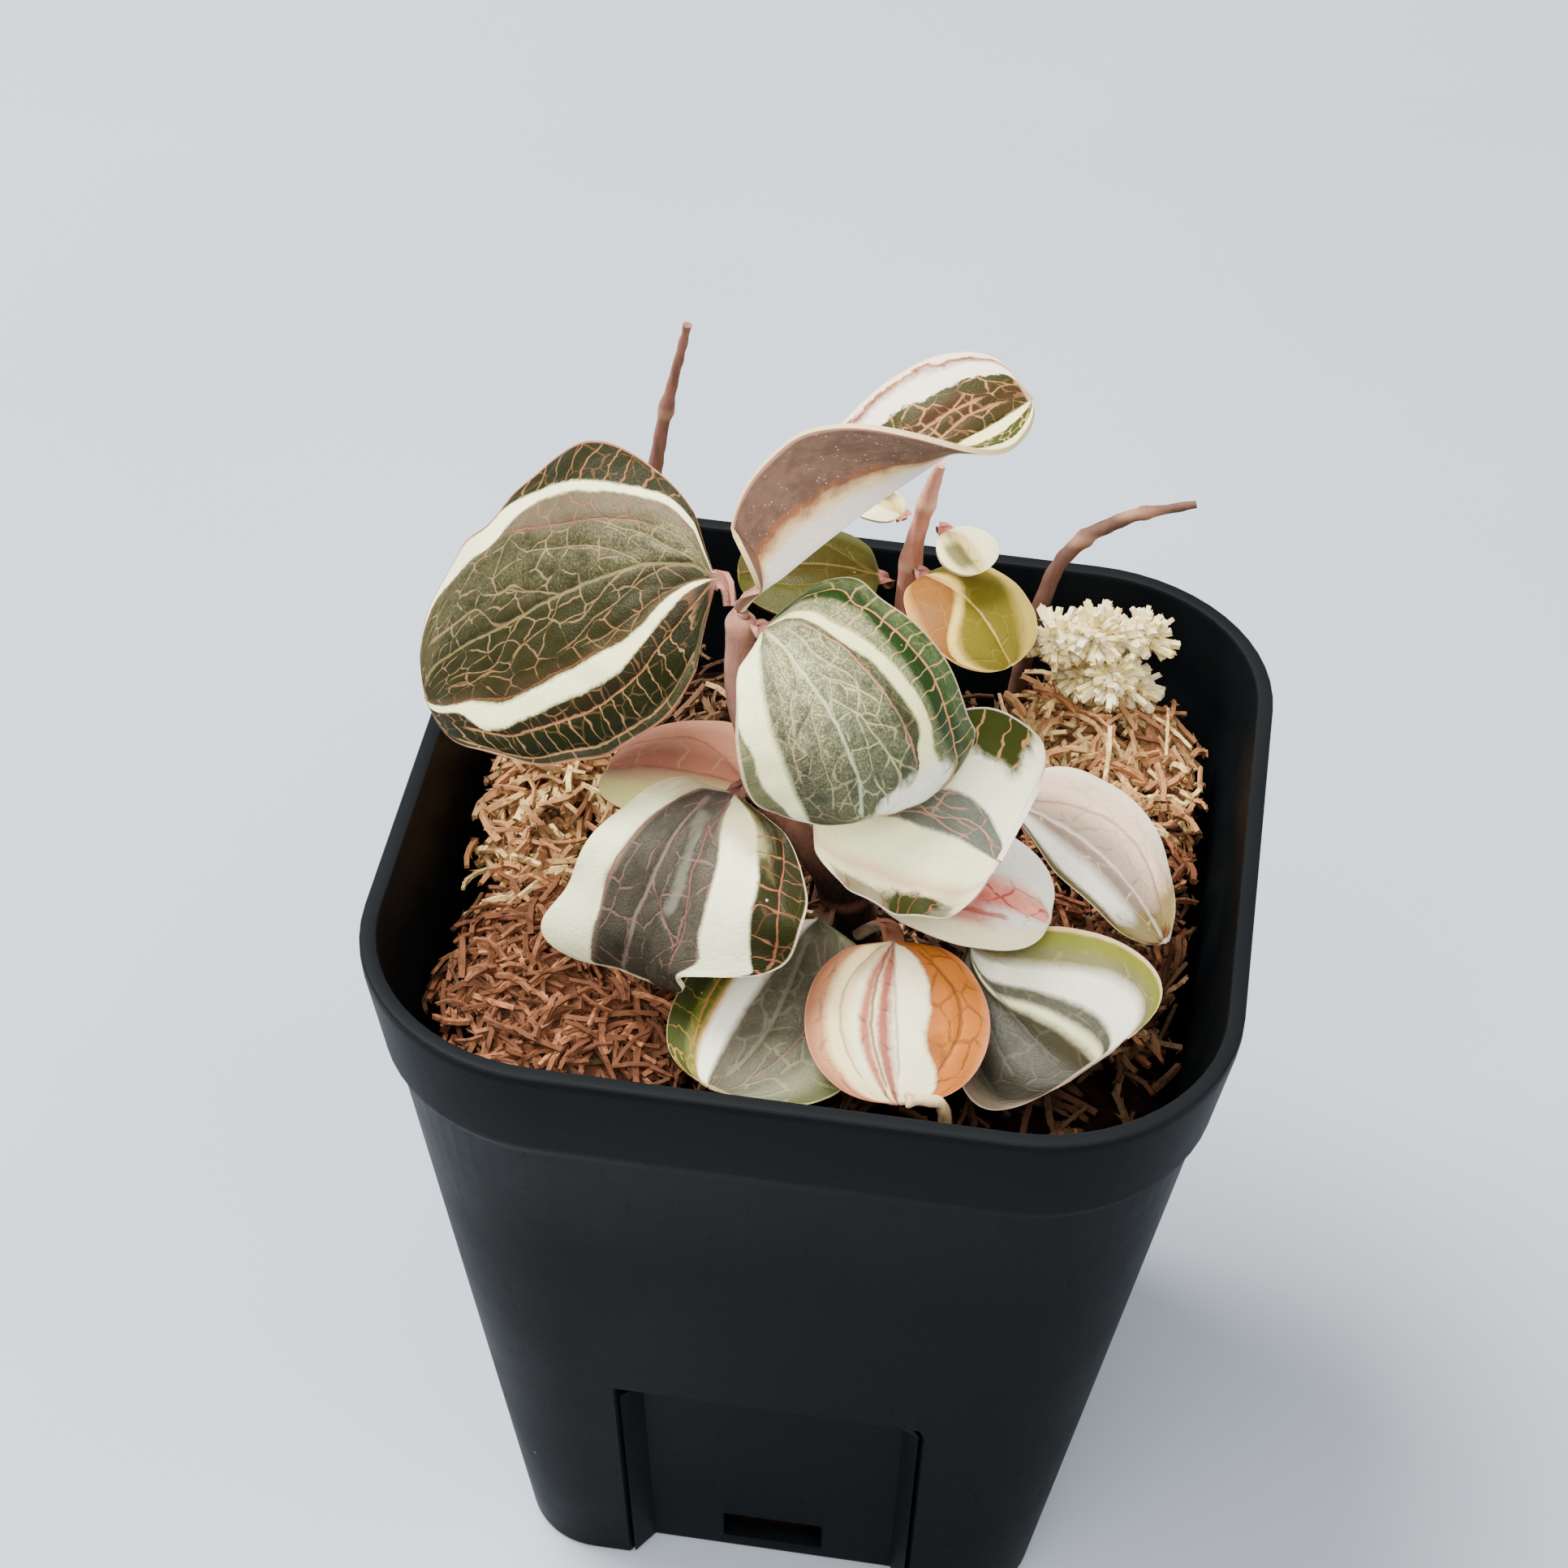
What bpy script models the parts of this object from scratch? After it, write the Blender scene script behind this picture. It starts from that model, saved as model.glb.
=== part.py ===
"""A jewel orchid with striped leaves in a square plastic nursery pot."""
import math
import random
from dataclasses import dataclass

import bmesh
import bpy
from mathutils import Vector

# Sizes are millimetres here and become metres when a mesh is made
MM = 0.001
GAP = 0.3

# Pot: half widths, heights above the surface and corner radii
POT_HEIGHT = 75.0
LIP_HALF = 35.0
LIP_WIDTH = 1.4
LIP_BEVEL = 0.3
COLLAR_Z = 66.0
COLLAR_HALF = 33.7
COLLAR_UNDERSIDE = 64.0
STEP = 0.9
BASE_HALF = 23.1
FOOT_BEVEL = 0.6
WALL = 1.25
FLOOR = 1.6
CORNER_TOP = 16.5
CORNER_NECK = 14.9
CORNER_BASE = 7.0
ARC_STEPS = 5
LOW_WALL_Z = 11.0
HIGH_WALL_Z = (36.0, 50.0)

# Panel let into the foot of each side, and the drain openings
PANEL_HALF = 12.6
PANEL_BEVEL = 1.2
PANEL_DEPTH = 2.4
PANEL_TOP = 29.5
DRAIN_RADIUS = 2.8
DRAIN_OFFSET = 11.0
SLOT_HALF = 4.5
SLOT_FROM = 2.0
SLOT_TO = 6.0
THROUGH = 80.0

# Moss bed
BED_GAP = 0.4
BED_LEVEL = 62.0
BED_SHOULDER = 58.0
RIPPLE = 0.45
STEM_HOLE_GAP = 0.4
PATH_STEPS = 4
STRAND_POINTS = 4
STRAND_SINK = 1.2
STRAND_LIMIT = 29.5

# Leaf blades; a blade as long as LARGE_BLADE gets the finer grid
BLADE_THICKNESS = 0.68
PETIOLE_HALF = 0.8
LARGE_BLADE = 15.0
BLADE_ROWS = {True: 9, False: 7}
HALF_COLUMNS = {True: 4, False: 3}
PETIOLE_STEP = 3.0
# Share of the length in which the outline closes at each end and the halves fold up from the petiole
SOFT_END = 0.06
FLAT_BASE = 0.3

SUBJECT = "potted_jewel_orchid"
random_source = random.Random(7)


def start_empty():
    """Remove what the file holds and make the two collections."""
    for item in list(bpy.data.objects):
        bpy.data.objects.remove(item, do_unlink=True)
    groups = []
    for name in (SUBJECT, "cutters"):
        group = bpy.data.collections.new(name)
        bpy.context.scene.collection.children.link(group)
        groups.append(group)
    return groups


def material(name, colour, roughness, metallic=0.0):
    """A plain principled material."""
    made = bpy.data.materials.get(name) or bpy.data.materials.new(name)
    made.use_nodes = True
    shader = made.node_tree.nodes["Principled BSDF"]
    shader.inputs["Base Color"].default_value = (*colour, 1.0)
    shader.inputs["Roughness"].default_value = roughness
    shader.inputs["Metallic"].default_value = metallic
    return made


def mesh_object(name, bm, group, look=None, smooth=True):
    """Turn a bmesh in millimetres into an object in metres."""
    bmesh.ops.scale(bm, vec=(MM, MM, MM), verts=bm.verts)
    bmesh.ops.recalc_face_normals(bm, faces=bm.faces)
    mesh = bpy.data.meshes.new(name)
    bm.to_mesh(mesh)
    bm.free()
    item = bpy.data.objects.new(name, mesh)
    group.objects.link(item)
    if look is not None:
        mesh.materials.append(look)
    if smooth:
        mesh.shade_smooth()
        mesh.set_sharp_from_angle(angle=math.radians(35))
    return item


def evaluated_mesh(item):
    """A new mesh of the object with its modifiers."""
    bpy.context.view_layer.update()
    graph = bpy.context.evaluated_depsgraph_get()
    return bpy.data.meshes.new_from_object(item.evaluated_get(graph))


def freeze(item):
    """Replace the object's mesh by its evaluated mesh."""
    mesh = evaluated_mesh(item)
    item.modifiers.clear()
    item.data = mesh
    return item


def as_cutter(item, cutters):
    """Keep a solid as a cutter only."""
    item.hide_render = True
    item.display_type = "WIRE"
    for group in list(item.users_collection):
        group.objects.unlink(item)
    cutters.objects.link(item)
    return item


def cut(item, tool, solver="EXACT"):
    """Take a cutter out of an object."""
    modifier = item.modifiers.new("cut_" + tool.name, "BOOLEAN")
    modifier.operation = "DIFFERENCE"
    modifier.object = tool
    modifier.solver = solver
    return modifier


def unite(name, items, group, look):
    """Fuse closed solids into one object and remove the pieces."""
    first, rest = items[0], items[1:]
    pieces = bpy.data.collections.new(name + "_pieces")
    bpy.context.scene.collection.children.link(pieces)
    for item in rest:
        for home in list(item.users_collection):
            home.objects.unlink(item)
        pieces.objects.link(item)
    modifier = first.modifiers.new("unite", "BOOLEAN")
    modifier.operation = "UNION"
    modifier.operand_type = "COLLECTION"
    modifier.collection = pieces
    modifier.solver = "EXACT"
    modifier.use_self = True
    mesh = evaluated_mesh(first)
    first.modifiers.clear()
    for item in rest:
        bpy.data.objects.remove(item, do_unlink=True)
    bpy.data.collections.remove(pieces)
    bpy.data.objects.remove(first, do_unlink=True)
    fused = bpy.data.objects.new(name, mesh)
    group.objects.link(fused)
    mesh.materials.clear()
    mesh.materials.append(look)
    mesh.shade_smooth()
    mesh.set_sharp_from_angle(angle=math.radians(40))
    return fused


# Rounded square sections

def section(half, corner, panel_depth=0.0, panel_extra=0.0):
    """Points of one level of the pot: a rounded square with a dent in the middle of each side."""
    run = half - corner
    inner = PANEL_HALF + panel_extra
    outer = inner + PANEL_BEVEL
    points = []
    for side in range(4):
        turn = math.radians(90 * side)
        local = [(-outer, 0.0), (-inner, panel_depth), (inner, panel_depth), (outer, 0.0)]
        row = [(half - dent, along) for along, dent in local]
        for step in range(ARC_STEPS + 1):
            angle = math.radians(90 * step / ARC_STEPS)
            row.append((run + corner * math.cos(angle), run + corner * math.sin(angle)))
        for x, y in row:
            points.append((x * math.cos(turn) - y * math.sin(turn),
                           x * math.sin(turn) + y * math.cos(turn)))
    return points


def taper(z, low, high):
    """A size that grows evenly from the pot's foot to the underside of its collar."""
    return low + (high - low) * (z - FOOT_BEVEL) / (COLLAR_UNDERSIDE - FOOT_BEVEL)


def outer_half(z):
    """Half width of the pot's outside below its collar."""
    return taper(z, BASE_HALF, COLLAR_HALF - STEP)


def corner_at(z):
    """Corner radius of the pot's outside below its collar."""
    return taper(z, CORNER_BASE, CORNER_NECK)


def stack(levels):
    """Close a pile of sections into one body, drawn out ring by ring."""
    bm = bmesh.new()
    count = len(levels[0][1])
    made = bmesh.ops.create_circle(bm, cap_ends=False, segments=count, radius=1.0)
    ring = sorted(made["verts"], key=lambda v: math.atan2(v.co.y, v.co.x) % (2 * math.pi))
    first_edges = list(bm.edges)
    edges = first_edges
    for number, (heights, points) in enumerate(levels):
        if number:
            drawn = bmesh.ops.extrude_edge_only(bm, edges=edges)["geom"]
            edges = [e for e in drawn if isinstance(e, bmesh.types.BMEdge) and e.is_boundary]
            partner = {}
            for vertex in (v for v in drawn if isinstance(v, bmesh.types.BMVert)):
                for edge in vertex.link_edges:
                    partner[edge.other_vert(vertex)] = vertex
            ring = [partner[v] for v in ring]
        for index, (vertex, (x, y)) in enumerate(zip(ring, points)):
            z = heights[index] if isinstance(heights, (list, tuple)) else heights
            vertex.co = (x, y, z)
    bmesh.ops.edgeloop_fill(bm, edges=first_edges)
    last = bmesh.ops.edgeloop_fill(bm, edges=edges)["faces"]
    bmesh.ops.poke(bm, faces=last)
    return bm


# Pot

def outer_levels():
    """Sections of the pot's outside from its foot to the top of its lip."""
    levels = [(0.0, section(BASE_HALF - 0.5, CORNER_BASE - 0.5, PANEL_DEPTH))]
    for z in (FOOT_BEVEL, LOW_WALL_Z, PANEL_TOP - PANEL_BEVEL):
        levels.append((z, section(outer_half(z), corner_at(z), PANEL_DEPTH)))
    for z in (PANEL_TOP,) + HIGH_WALL_Z + (COLLAR_UNDERSIDE,):
        levels.append((z, section(outer_half(z), corner_at(z))))
    levels += [
        (COLLAR_Z - STEP, section(COLLAR_HALF - LIP_BEVEL, CORNER_NECK + LIP_BEVEL)),
        (COLLAR_Z, section(COLLAR_HALF, CORNER_TOP - 1.0)),
        (POT_HEIGHT - 1.0, section(LIP_HALF, CORNER_TOP)),
        (POT_HEIGHT - LIP_BEVEL, section(LIP_HALF - 0.1, CORNER_TOP - 0.1)),
        (POT_HEIGHT, section(LIP_HALF - 0.4, CORNER_TOP - 0.4)),
    ]
    return levels


def inner_levels():
    """Sections of the pot's inside from its lip down to its floor."""
    lip_inside = LIP_HALF - LIP_WIDTH
    lip_corner = CORNER_TOP - LIP_WIDTH
    levels = [
        (POT_HEIGHT, section(lip_inside + LIP_BEVEL, lip_corner + LIP_BEVEL)),
        (POT_HEIGHT - 0.4, section(lip_inside, lip_corner)),
        (COLLAR_Z, section(COLLAR_HALF - WALL, CORNER_TOP - 1.0 - WALL)),
        (COLLAR_UNDERSIDE, inner_section(COLLAR_UNDERSIDE, 0.0)),
    ]
    for z in HIGH_WALL_Z[::-1] + (PANEL_TOP + 1.0, PANEL_TOP - PANEL_BEVEL + 1.0, LOW_WALL_Z, FLOOR):
        levels.append((z, inner_section(z, 0.0)))
    return levels


def drain_hole(x, y, cutters):
    """Cutter of one round hole in the floor."""
    bm = bmesh.new()
    bmesh.ops.create_cone(bm, cap_ends=True, segments=16, radius1=DRAIN_RADIUS, radius2=DRAIN_RADIUS,
                          depth=5 * FLOOR)
    bmesh.ops.translate(bm, vec=(x, y, 0.0), verts=bm.verts)
    return mesh_object("drain_hole", bm, cutters)


def drain_slots(size_x, size_y, cutters):
    """Cutter of the low slots in two opposite sides."""
    bm = bmesh.new()
    bmesh.ops.create_cube(bm, size=1.0)
    bmesh.ops.scale(bm, vec=(size_x, size_y, SLOT_TO - SLOT_FROM), verts=bm.verts)
    bmesh.ops.translate(bm, vec=(0.0, 0.0, (SLOT_TO + SLOT_FROM) / 2), verts=bm.verts)
    return mesh_object("drain_slots", bm, cutters)


def make_pot(group, cutters, look):
    """The pot: outside and inside drawn as one shell, then its drain openings."""
    pot = mesh_object("pot", stack(outer_levels() + inner_levels()), group, look)
    holes = [drain_slots(THROUGH, 2 * SLOT_HALF, cutters), drain_slots(2 * SLOT_HALF, THROUGH, cutters)]
    for x, y in ((DRAIN_OFFSET, 0.0), (-DRAIN_OFFSET, 0.0), (0.0, DRAIN_OFFSET), (0.0, -DRAIN_OFFSET)):
        holes.append(drain_hole(x, y, cutters))
    for hole in holes:
        cut(pot, as_cutter(hole, cutters))
    return pot


def inner_section(z, gap):
    """One level of the pot's inside, or of what fills it, a gap clear of the wall."""
    if z < PANEL_TOP + 1.0:
        depth = PANEL_DEPTH
    else:
        depth = 0.0
    half = outer_half(z) - WALL - gap
    corner = corner_at(z) - WALL - gap
    return section(half, corner, depth, WALL + gap)


# Curved tubes

def smooth_path(points, steps):
    """Points along one smooth curve through the given points."""
    guide = [Vector(p) for p in points]
    guide = [guide[0] * 2 - guide[1]] + guide + [guide[-1] * 2 - guide[-2]]
    path = []
    for index in range(1, len(guide) - 2):
        before, start, end, after = guide[index - 1:index + 3]
        for step in range(steps):
            t = step / steps
            path.append(0.5 * ((2 * start) + (end - before) * t
                               + (2 * before - 5 * start + 4 * end - after) * t * t
                               + (3 * start - before - 3 * end + after) * t ** 3))
    path.append(guide[-2].copy())
    return path


def tube(name, path, radii, group, look, roundness=2):
    """A capped tube along points, with a radius at each."""
    curve = bpy.data.curves.new(name, "CURVE")
    curve.dimensions = "3D"
    curve.bevel_depth = 1.0 * MM
    curve.bevel_resolution = roundness
    curve.use_fill_caps = True
    spline = curve.splines.new("POLY")
    spline.points.add(len(path) - 1)
    for index, point in enumerate(path):
        spline.points[index].co = (point[0] * MM, point[1] * MM, point[2] * MM, 1.0)
        place = index / (len(path) - 1) * (len(radii) - 1)
        low = min(int(place), len(radii) - 2)
        spline.points[index].radius = radii[low] + (radii[low + 1] - radii[low]) * (place - low)
    drawn = bpy.data.objects.new(name + "_curve", curve)
    group.objects.link(drawn)
    mesh = evaluated_mesh(drawn)
    bpy.data.objects.remove(drawn, do_unlink=True)
    bm = bmesh.new()
    bm.from_mesh(mesh)
    bmesh.ops.remove_doubles(bm, verts=bm.verts, dist=0.00001)
    bmesh.ops.recalc_face_normals(bm, faces=bm.faces)
    bm.to_mesh(mesh)
    bm.free()
    mesh.name = name
    mesh.materials.clear()
    if look is not None:
        mesh.materials.append(look)
    mesh.shade_smooth()
    mesh.set_sharp_from_angle(angle=math.radians(50))
    item = bpy.data.objects.new(name, mesh)
    group.objects.link(item)
    return item


# Moss

MOUNDS = (
    # x, y, spread, rise
    (-21.0, -13.0, 9.0, 3.6),
    (-22.0, 8.0, 9.0, 4.6),
    (24.0, 4.0, 7.0, 3.6),
    (19.0, 24.0, 7.0, 3.0),
    (0.0, 25.0, 8.0, 3.6),
    (3.0, -5.0, 5.0, 2.4),
    (-10.0, 22.0, 8.0, 3.0),
)


def bed_height(x, y):
    """Height of the moss bed's top at a place."""
    z = BED_LEVEL
    for centre_x, centre_y, spread, rise in MOUNDS:
        away = ((x - centre_x) ** 2 + (y - centre_y) ** 2) / (spread * spread)
        z += rise * math.exp(-away)
    return z + RIPPLE * math.sin(x / 2.3 + 0.8) * math.sin(y / 2.6 + 2.0)


def make_bed(name, group, look, lift=0.0):
    """The moss bed down to the pot's floor, with its lumpy top."""
    levels = [(FLOOR + GAP, inner_section(FLOOR + GAP, BED_GAP + 0.2))]
    panel_shoulder = (PANEL_TOP - PANEL_BEVEL + 1.0 + GAP, PANEL_TOP + 1.0 + GAP)
    for z in (LOW_WALL_Z,) + panel_shoulder + HIGH_WALL_Z + (BED_SHOULDER,):
        levels.append((z, inner_section(z, BED_GAP)))
    rim = inner_section(BED_SHOULDER, BED_GAP)
    for scale, drop in ((0.965, 1.8), (0.92, 0.3), (0.82, 0.0), (0.69, 0.0), (0.55, 0.0), (0.4, 0.0),
                        (0.25, 0.0), (0.12, 0.0)):
        points = [(x * scale, y * scale) for x, y in rim]
        levels.append(([bed_height(x, y) - drop + lift for x, y in points], points))
    return mesh_object(name, stack(levels), group, look)


def strand_path(x, y, heading, length, lift, bend):
    """A moss strand that leaves the bed, arches and comes down again."""
    path = []
    stride = length / (STRAND_POINTS - 1)
    for step in range(STRAND_POINTS):
        t = step / (STRAND_POINTS - 1)
        turn = heading + bend * t
        if step:
            x += stride * math.cos(turn)
            y += stride * math.sin(turn)
        rise = lift * math.sin(math.pi * min(1.0, 0.15 + t * 0.8))
        if step == 0:
            rise -= STRAND_SINK
        path.append((x, y, bed_height(x, y) + rise))
    return path


def strands(zone, group):
    """Moss strands of one zone, placed by seeded draws."""
    centre_x, centre_y, spread_x, spread_y, count, length, lift, radius = zone
    made = []
    tries = 0
    while len(made) < count and tries < count * 12:
        tries += 1
        x = centre_x + spread_x * random_source.uniform(-1, 1)
        y = centre_y + spread_y * random_source.uniform(-1, 1)
        heading = random_source.uniform(0, 2 * math.pi)
        long = length * random_source.uniform(0.7, 1.2)
        path = strand_path(x, y, heading, long, lift * random_source.uniform(0.5, 1.2),
                           random_source.uniform(-1.6, 1.6))
        if max(max(abs(p[0]), abs(p[1])) for p in path) > STRAND_LIMIT:
            continue
        if any(math.hypot(p[0] - centre_x, (p[1] - centre_y) * spread_x / spread_y) > spread_x + 3.5
               for p in path):
            continue
        made.append(tube("strand", path, (radius, radius * 0.9, radius * 0.65), group, None, 0))
    return made


def heap(centre, size, group):
    """The low core that a tuft's strands grow from."""
    bm = bmesh.new()
    bmesh.ops.create_icosphere(bm, subdivisions=2, radius=1.0)
    for vertex in bm.verts:
        x = centre[0] + size[0] * vertex.co.x
        y = centre[1] + size[1] * vertex.co.y
        vertex.co = (x, y, bed_height(x, y) - 0.4 + size[2] * vertex.co.z)
    return mesh_object("heap", bm, group)


def make_tuft(name, zone, core_size, group, look, clearance):
    """A tuft of one colour that lies on the bed a small gap clear of it."""
    core = heap(zone[:2], core_size, group)
    fused = unite(name, [core] + strands(zone, group), group, look)
    cut(fused, clearance)
    freeze(fused)
    keep_largest(fused)
    fused.data.materials.clear()
    fused.data.materials.append(look)
    return fused


def keep_largest(item):
    """Drop loose scraps that a cut left behind."""
    bm = bmesh.new()
    bm.from_mesh(item.data)
    left = set(bm.verts)
    groups = []
    while left:
        start = left.pop()
        patch, front = {start}, [start]
        while front:
            for edge in front.pop().link_edges:
                for vertex in edge.verts:
                    if vertex in left:
                        left.discard(vertex)
                        patch.add(vertex)
                        front.append(vertex)
        groups.append(patch)
    groups.sort(key=len)
    for patch in groups[:-1]:
        bmesh.ops.delete(bm, geom=list(patch), context="VERTS")
    bmesh.ops.remove_doubles(bm, verts=bm.verts, dist=0.000003)
    bm.to_mesh(item.data)
    bm.free()


# Leaves

@dataclass
class Leaf:
    """One leaf: its midrib, how its halves lie, and its outline. Angles are degrees."""

    name: str
    root: tuple                 # where the petiole leaves the stem
    base: tuple                 # where the blade starts
    heading: float              # compass direction of the midrib, 0 = +X, 90 = +Y
    rise: float                 # climb of the midrib at the base
    length: float
    half: tuple                 # half widths, left and right
    droop: float                # fall of the climb from base to tip
    roll: float = 0.0           # left side up
    twist: float = 0.0          # change of roll to the tip
    fold: tuple = ((10, 10), (10, 10))      # lift of each half at the midrib, base and tip
    curl: tuple = ((-40, -40), (-40, -40))  # turn of each half out to its margin, base and tip
    low: tuple = (0.45, 0.45)   # bluntness at the base, left and right
    high: tuple = (0.4, 0.4)    # bluntness at the tip
    ease: tuple = (0.0, 1.0)    # stretch in which fold and curl change
    lobes: tuple = ()           # bulges of the outline: side, place, spread, size
    wave: float = 0.0           # height of the margin's waves
    waves: float = 3.0


class Blade:
    """Points of a leaf's middle surface."""

    STEPS = 120

    def __init__(self, leaf):
        self.leaf = leaf
        self.centres = [Vector(leaf.base)]
        previous = self.direction(0.0)
        for step in range(1, self.STEPS + 1):
            here = self.direction(step / self.STEPS)
            self.centres.append(self.centres[-1] + (previous + here) * (leaf.length / self.STEPS / 2))
            previous = here

    def direction(self, u):
        """Direction of the midrib."""
        turn = math.radians(self.leaf.heading)
        climb = math.radians(self.leaf.rise - self.leaf.droop * u)
        return Vector((math.cos(climb) * math.cos(turn), math.cos(climb) * math.sin(turn), math.sin(climb)))

    def frame(self, u):
        """Centre, left side and upper normal at a place along the blade."""
        place = u * self.STEPS
        index = min(int(place), self.STEPS - 1)
        centre = self.centres[index].lerp(self.centres[index + 1], place - index)
        turn = math.radians(self.leaf.heading)
        level_side = Vector((-math.sin(turn), math.cos(turn), 0.0))
        side, normal = tilted(self.direction(u), level_side, self.leaf.roll + self.leaf.twist * u)
        return centre, side, normal

    def width(self, u, left):
        """Half width of one side."""
        leaf = self.leaf
        number = 0 if left else 1
        low, high = leaf.low[number], leaf.high[number]
        peak = low / (low + high)
        shape = u ** low * max(1 - u, 0.02) ** high / (peak ** low * (1 - peak) ** high)
        soft = min(1.0, (u / SOFT_END) ** 0.5, (1 - u + SOFT_END / 2) / SOFT_END)
        size = leaf.half[number] * shape * soft
        for side, place, spread, bulge in leaf.lobes:
            if (side == "left") == left:
                size += bulge * math.exp(-((u - place) / spread) ** 2) * min(1.0, shape)
        return max(PETIOLE_HALF, size)

    def point(self, u, v):
        """A point of the surface: v runs from -1 at the right margin to 1 at the left."""
        leaf = self.leaf
        left = v > 0
        number = 0 if left else 1
        reach = abs(v)
        start, end = leaf.ease
        mix = min(1.0, max(0.0, (u - start) / (end - start)))
        if leaf.ease != (0.0, 1.0):
            mix = mix * mix * (3 - 2 * mix)
        opening = min(1.0, FLAT_BASE + (1 - FLAT_BASE) * u / SOFT_END)
        fold = math.radians(blend(leaf.fold[number], mix) * opening)
        curl = math.radians(blend(leaf.curl[number], mix))
        if abs(curl) < 0.001:
            curl = 0.001
        radius = leaf.half[number] / curl
        turn = self.width(u, left) * reach / radius
        across = radius * (math.sin(fold + turn) - math.sin(fold))
        up = radius * (math.cos(fold) - math.cos(fold + turn))
        up += (leaf.wave * reach ** 2 * math.sin(2 * math.pi * leaf.waves * u + (1.3 if left else 0.0))
               * min(1.0, 4 * u))
        centre, side, normal = self.frame(u)
        return centre + side * (across if left else -across) + normal * up

    def petiole(self, t, v):
        """A point of the petiole, from the stem at 0 to the blade at 1."""
        leaf = self.leaf
        root, base = Vector(leaf.root), Vector(leaf.base)
        reach = (base - root).length
        guide = base - self.direction(0.0) * reach * 0.45
        centre = root.lerp(guide, t).lerp(guide.lerp(base, t), t)
        heading = (guide.lerp(base, t) - root.lerp(guide, t)).normalized()
        level_side = Vector((-heading.y, heading.x, 0.0)).normalized()
        side, normal = tilted(heading, level_side, leaf.roll * t)
        fold = math.radians(leaf.fold[0 if v > 0 else 1][0] * FLAT_BASE * t)
        across, up = PETIOLE_HALF * v * math.cos(fold), PETIOLE_HALF * abs(v) * math.sin(fold)
        return centre + side * across + normal * up


def blend(pair, t):
    """A value between two."""
    return pair[0] + (pair[1] - pair[0]) * t


def tilted(direction, level_side, roll):
    """Left side and upper normal of a direction, with the left side lifted by roll."""
    normal = direction.cross(level_side)
    angle = math.radians(roll)
    return (level_side * math.cos(angle) + normal * math.sin(angle),
            normal * math.cos(angle) - level_side * math.sin(angle))


def make_leaf(leaf, group, look):
    """A leaf with its petiole: a grid bent by the leaf's formula and made solid."""
    blade = Blade(leaf)
    large = leaf.length >= LARGE_BLADE
    petiole_rows = 1 + min(2, int((Vector(leaf.base) - Vector(leaf.root)).length / PETIOLE_STEP))
    rows = BLADE_ROWS[large] + petiole_rows
    columns = 2 * HALF_COLUMNS[large]
    bm = bmesh.new()
    bmesh.ops.create_grid(bm, x_segments=columns, y_segments=rows, size=1.0)
    for vertex in bm.verts:
        v = vertex.co.x
        row = round((vertex.co.y + 1) / 2 * rows)
        if row < petiole_rows:
            vertex.co = blade.petiole(row / petiole_rows, v)
        else:
            share = (row - petiole_rows) / BLADE_ROWS[large]
            vertex.co = blade.point(share / 2 + (1 - math.cos(math.pi * share)) / 4, v)
    bmesh.ops.triangulate(bm, faces=bm.faces, quad_method="SHORT_EDGE")
    item = mesh_object(leaf.name, bm, group, look)
    modifier = item.modifiers.new("thickness", "SOLIDIFY")
    modifier.thickness = BLADE_THICKNESS * MM
    modifier.offset = 0.0
    return item


# Where everything grows

STEM_PATH = ((3.0, -6.0, 60.5), (3.0, -6.2, 66.0), (1.5, -8.0, 74.0), (-2.5, -11.5, 84.0),
             (-6.2, -10.8, 94.0), (-6.8, -9.2, 101.2))
STEM_RADII = (2.0, 2.0, 1.8, 1.5, 1.3, 1.1)
BACK_STEM_PATH = ((1.6, 27.4, 60.5), (2.0, 27.0, 66.0), (2.6, 26.0, 80.0), (4.2, 24.0, 90.0))
BACK_STEM_RADII = (1.0, 1.0, 0.9, 0.8)
LEFT_STALK_PATH = ((-17.6, 16.8, 60.0), (-17.6, 16.8, 80.0), (-17.2, 16.4, 95.0), (-14.8, 14.2, 112.0))
LEFT_STALK_RADII = (0.8, 0.8, 0.8, 0.6)
RIGHT_STALK_PATH = ((12.3, 27.6, 60.0), (13.0, 28.6, 68.0), (15.2, 30.6, 78.0), (20.0, 32.0, 82.5),
                    (26.4, 32.3, 85.0))
RIGHT_STALK_RADII = (0.8, 0.8, 0.7, 0.6, 0.5)
TWIG_PATH = ((13.5, -25.5, 60.0), (13.0, -27.6, 67.0), (12.2, -28.9, 72.5))
TWIG_RADII = (0.6, 0.55, 0.5)

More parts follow.
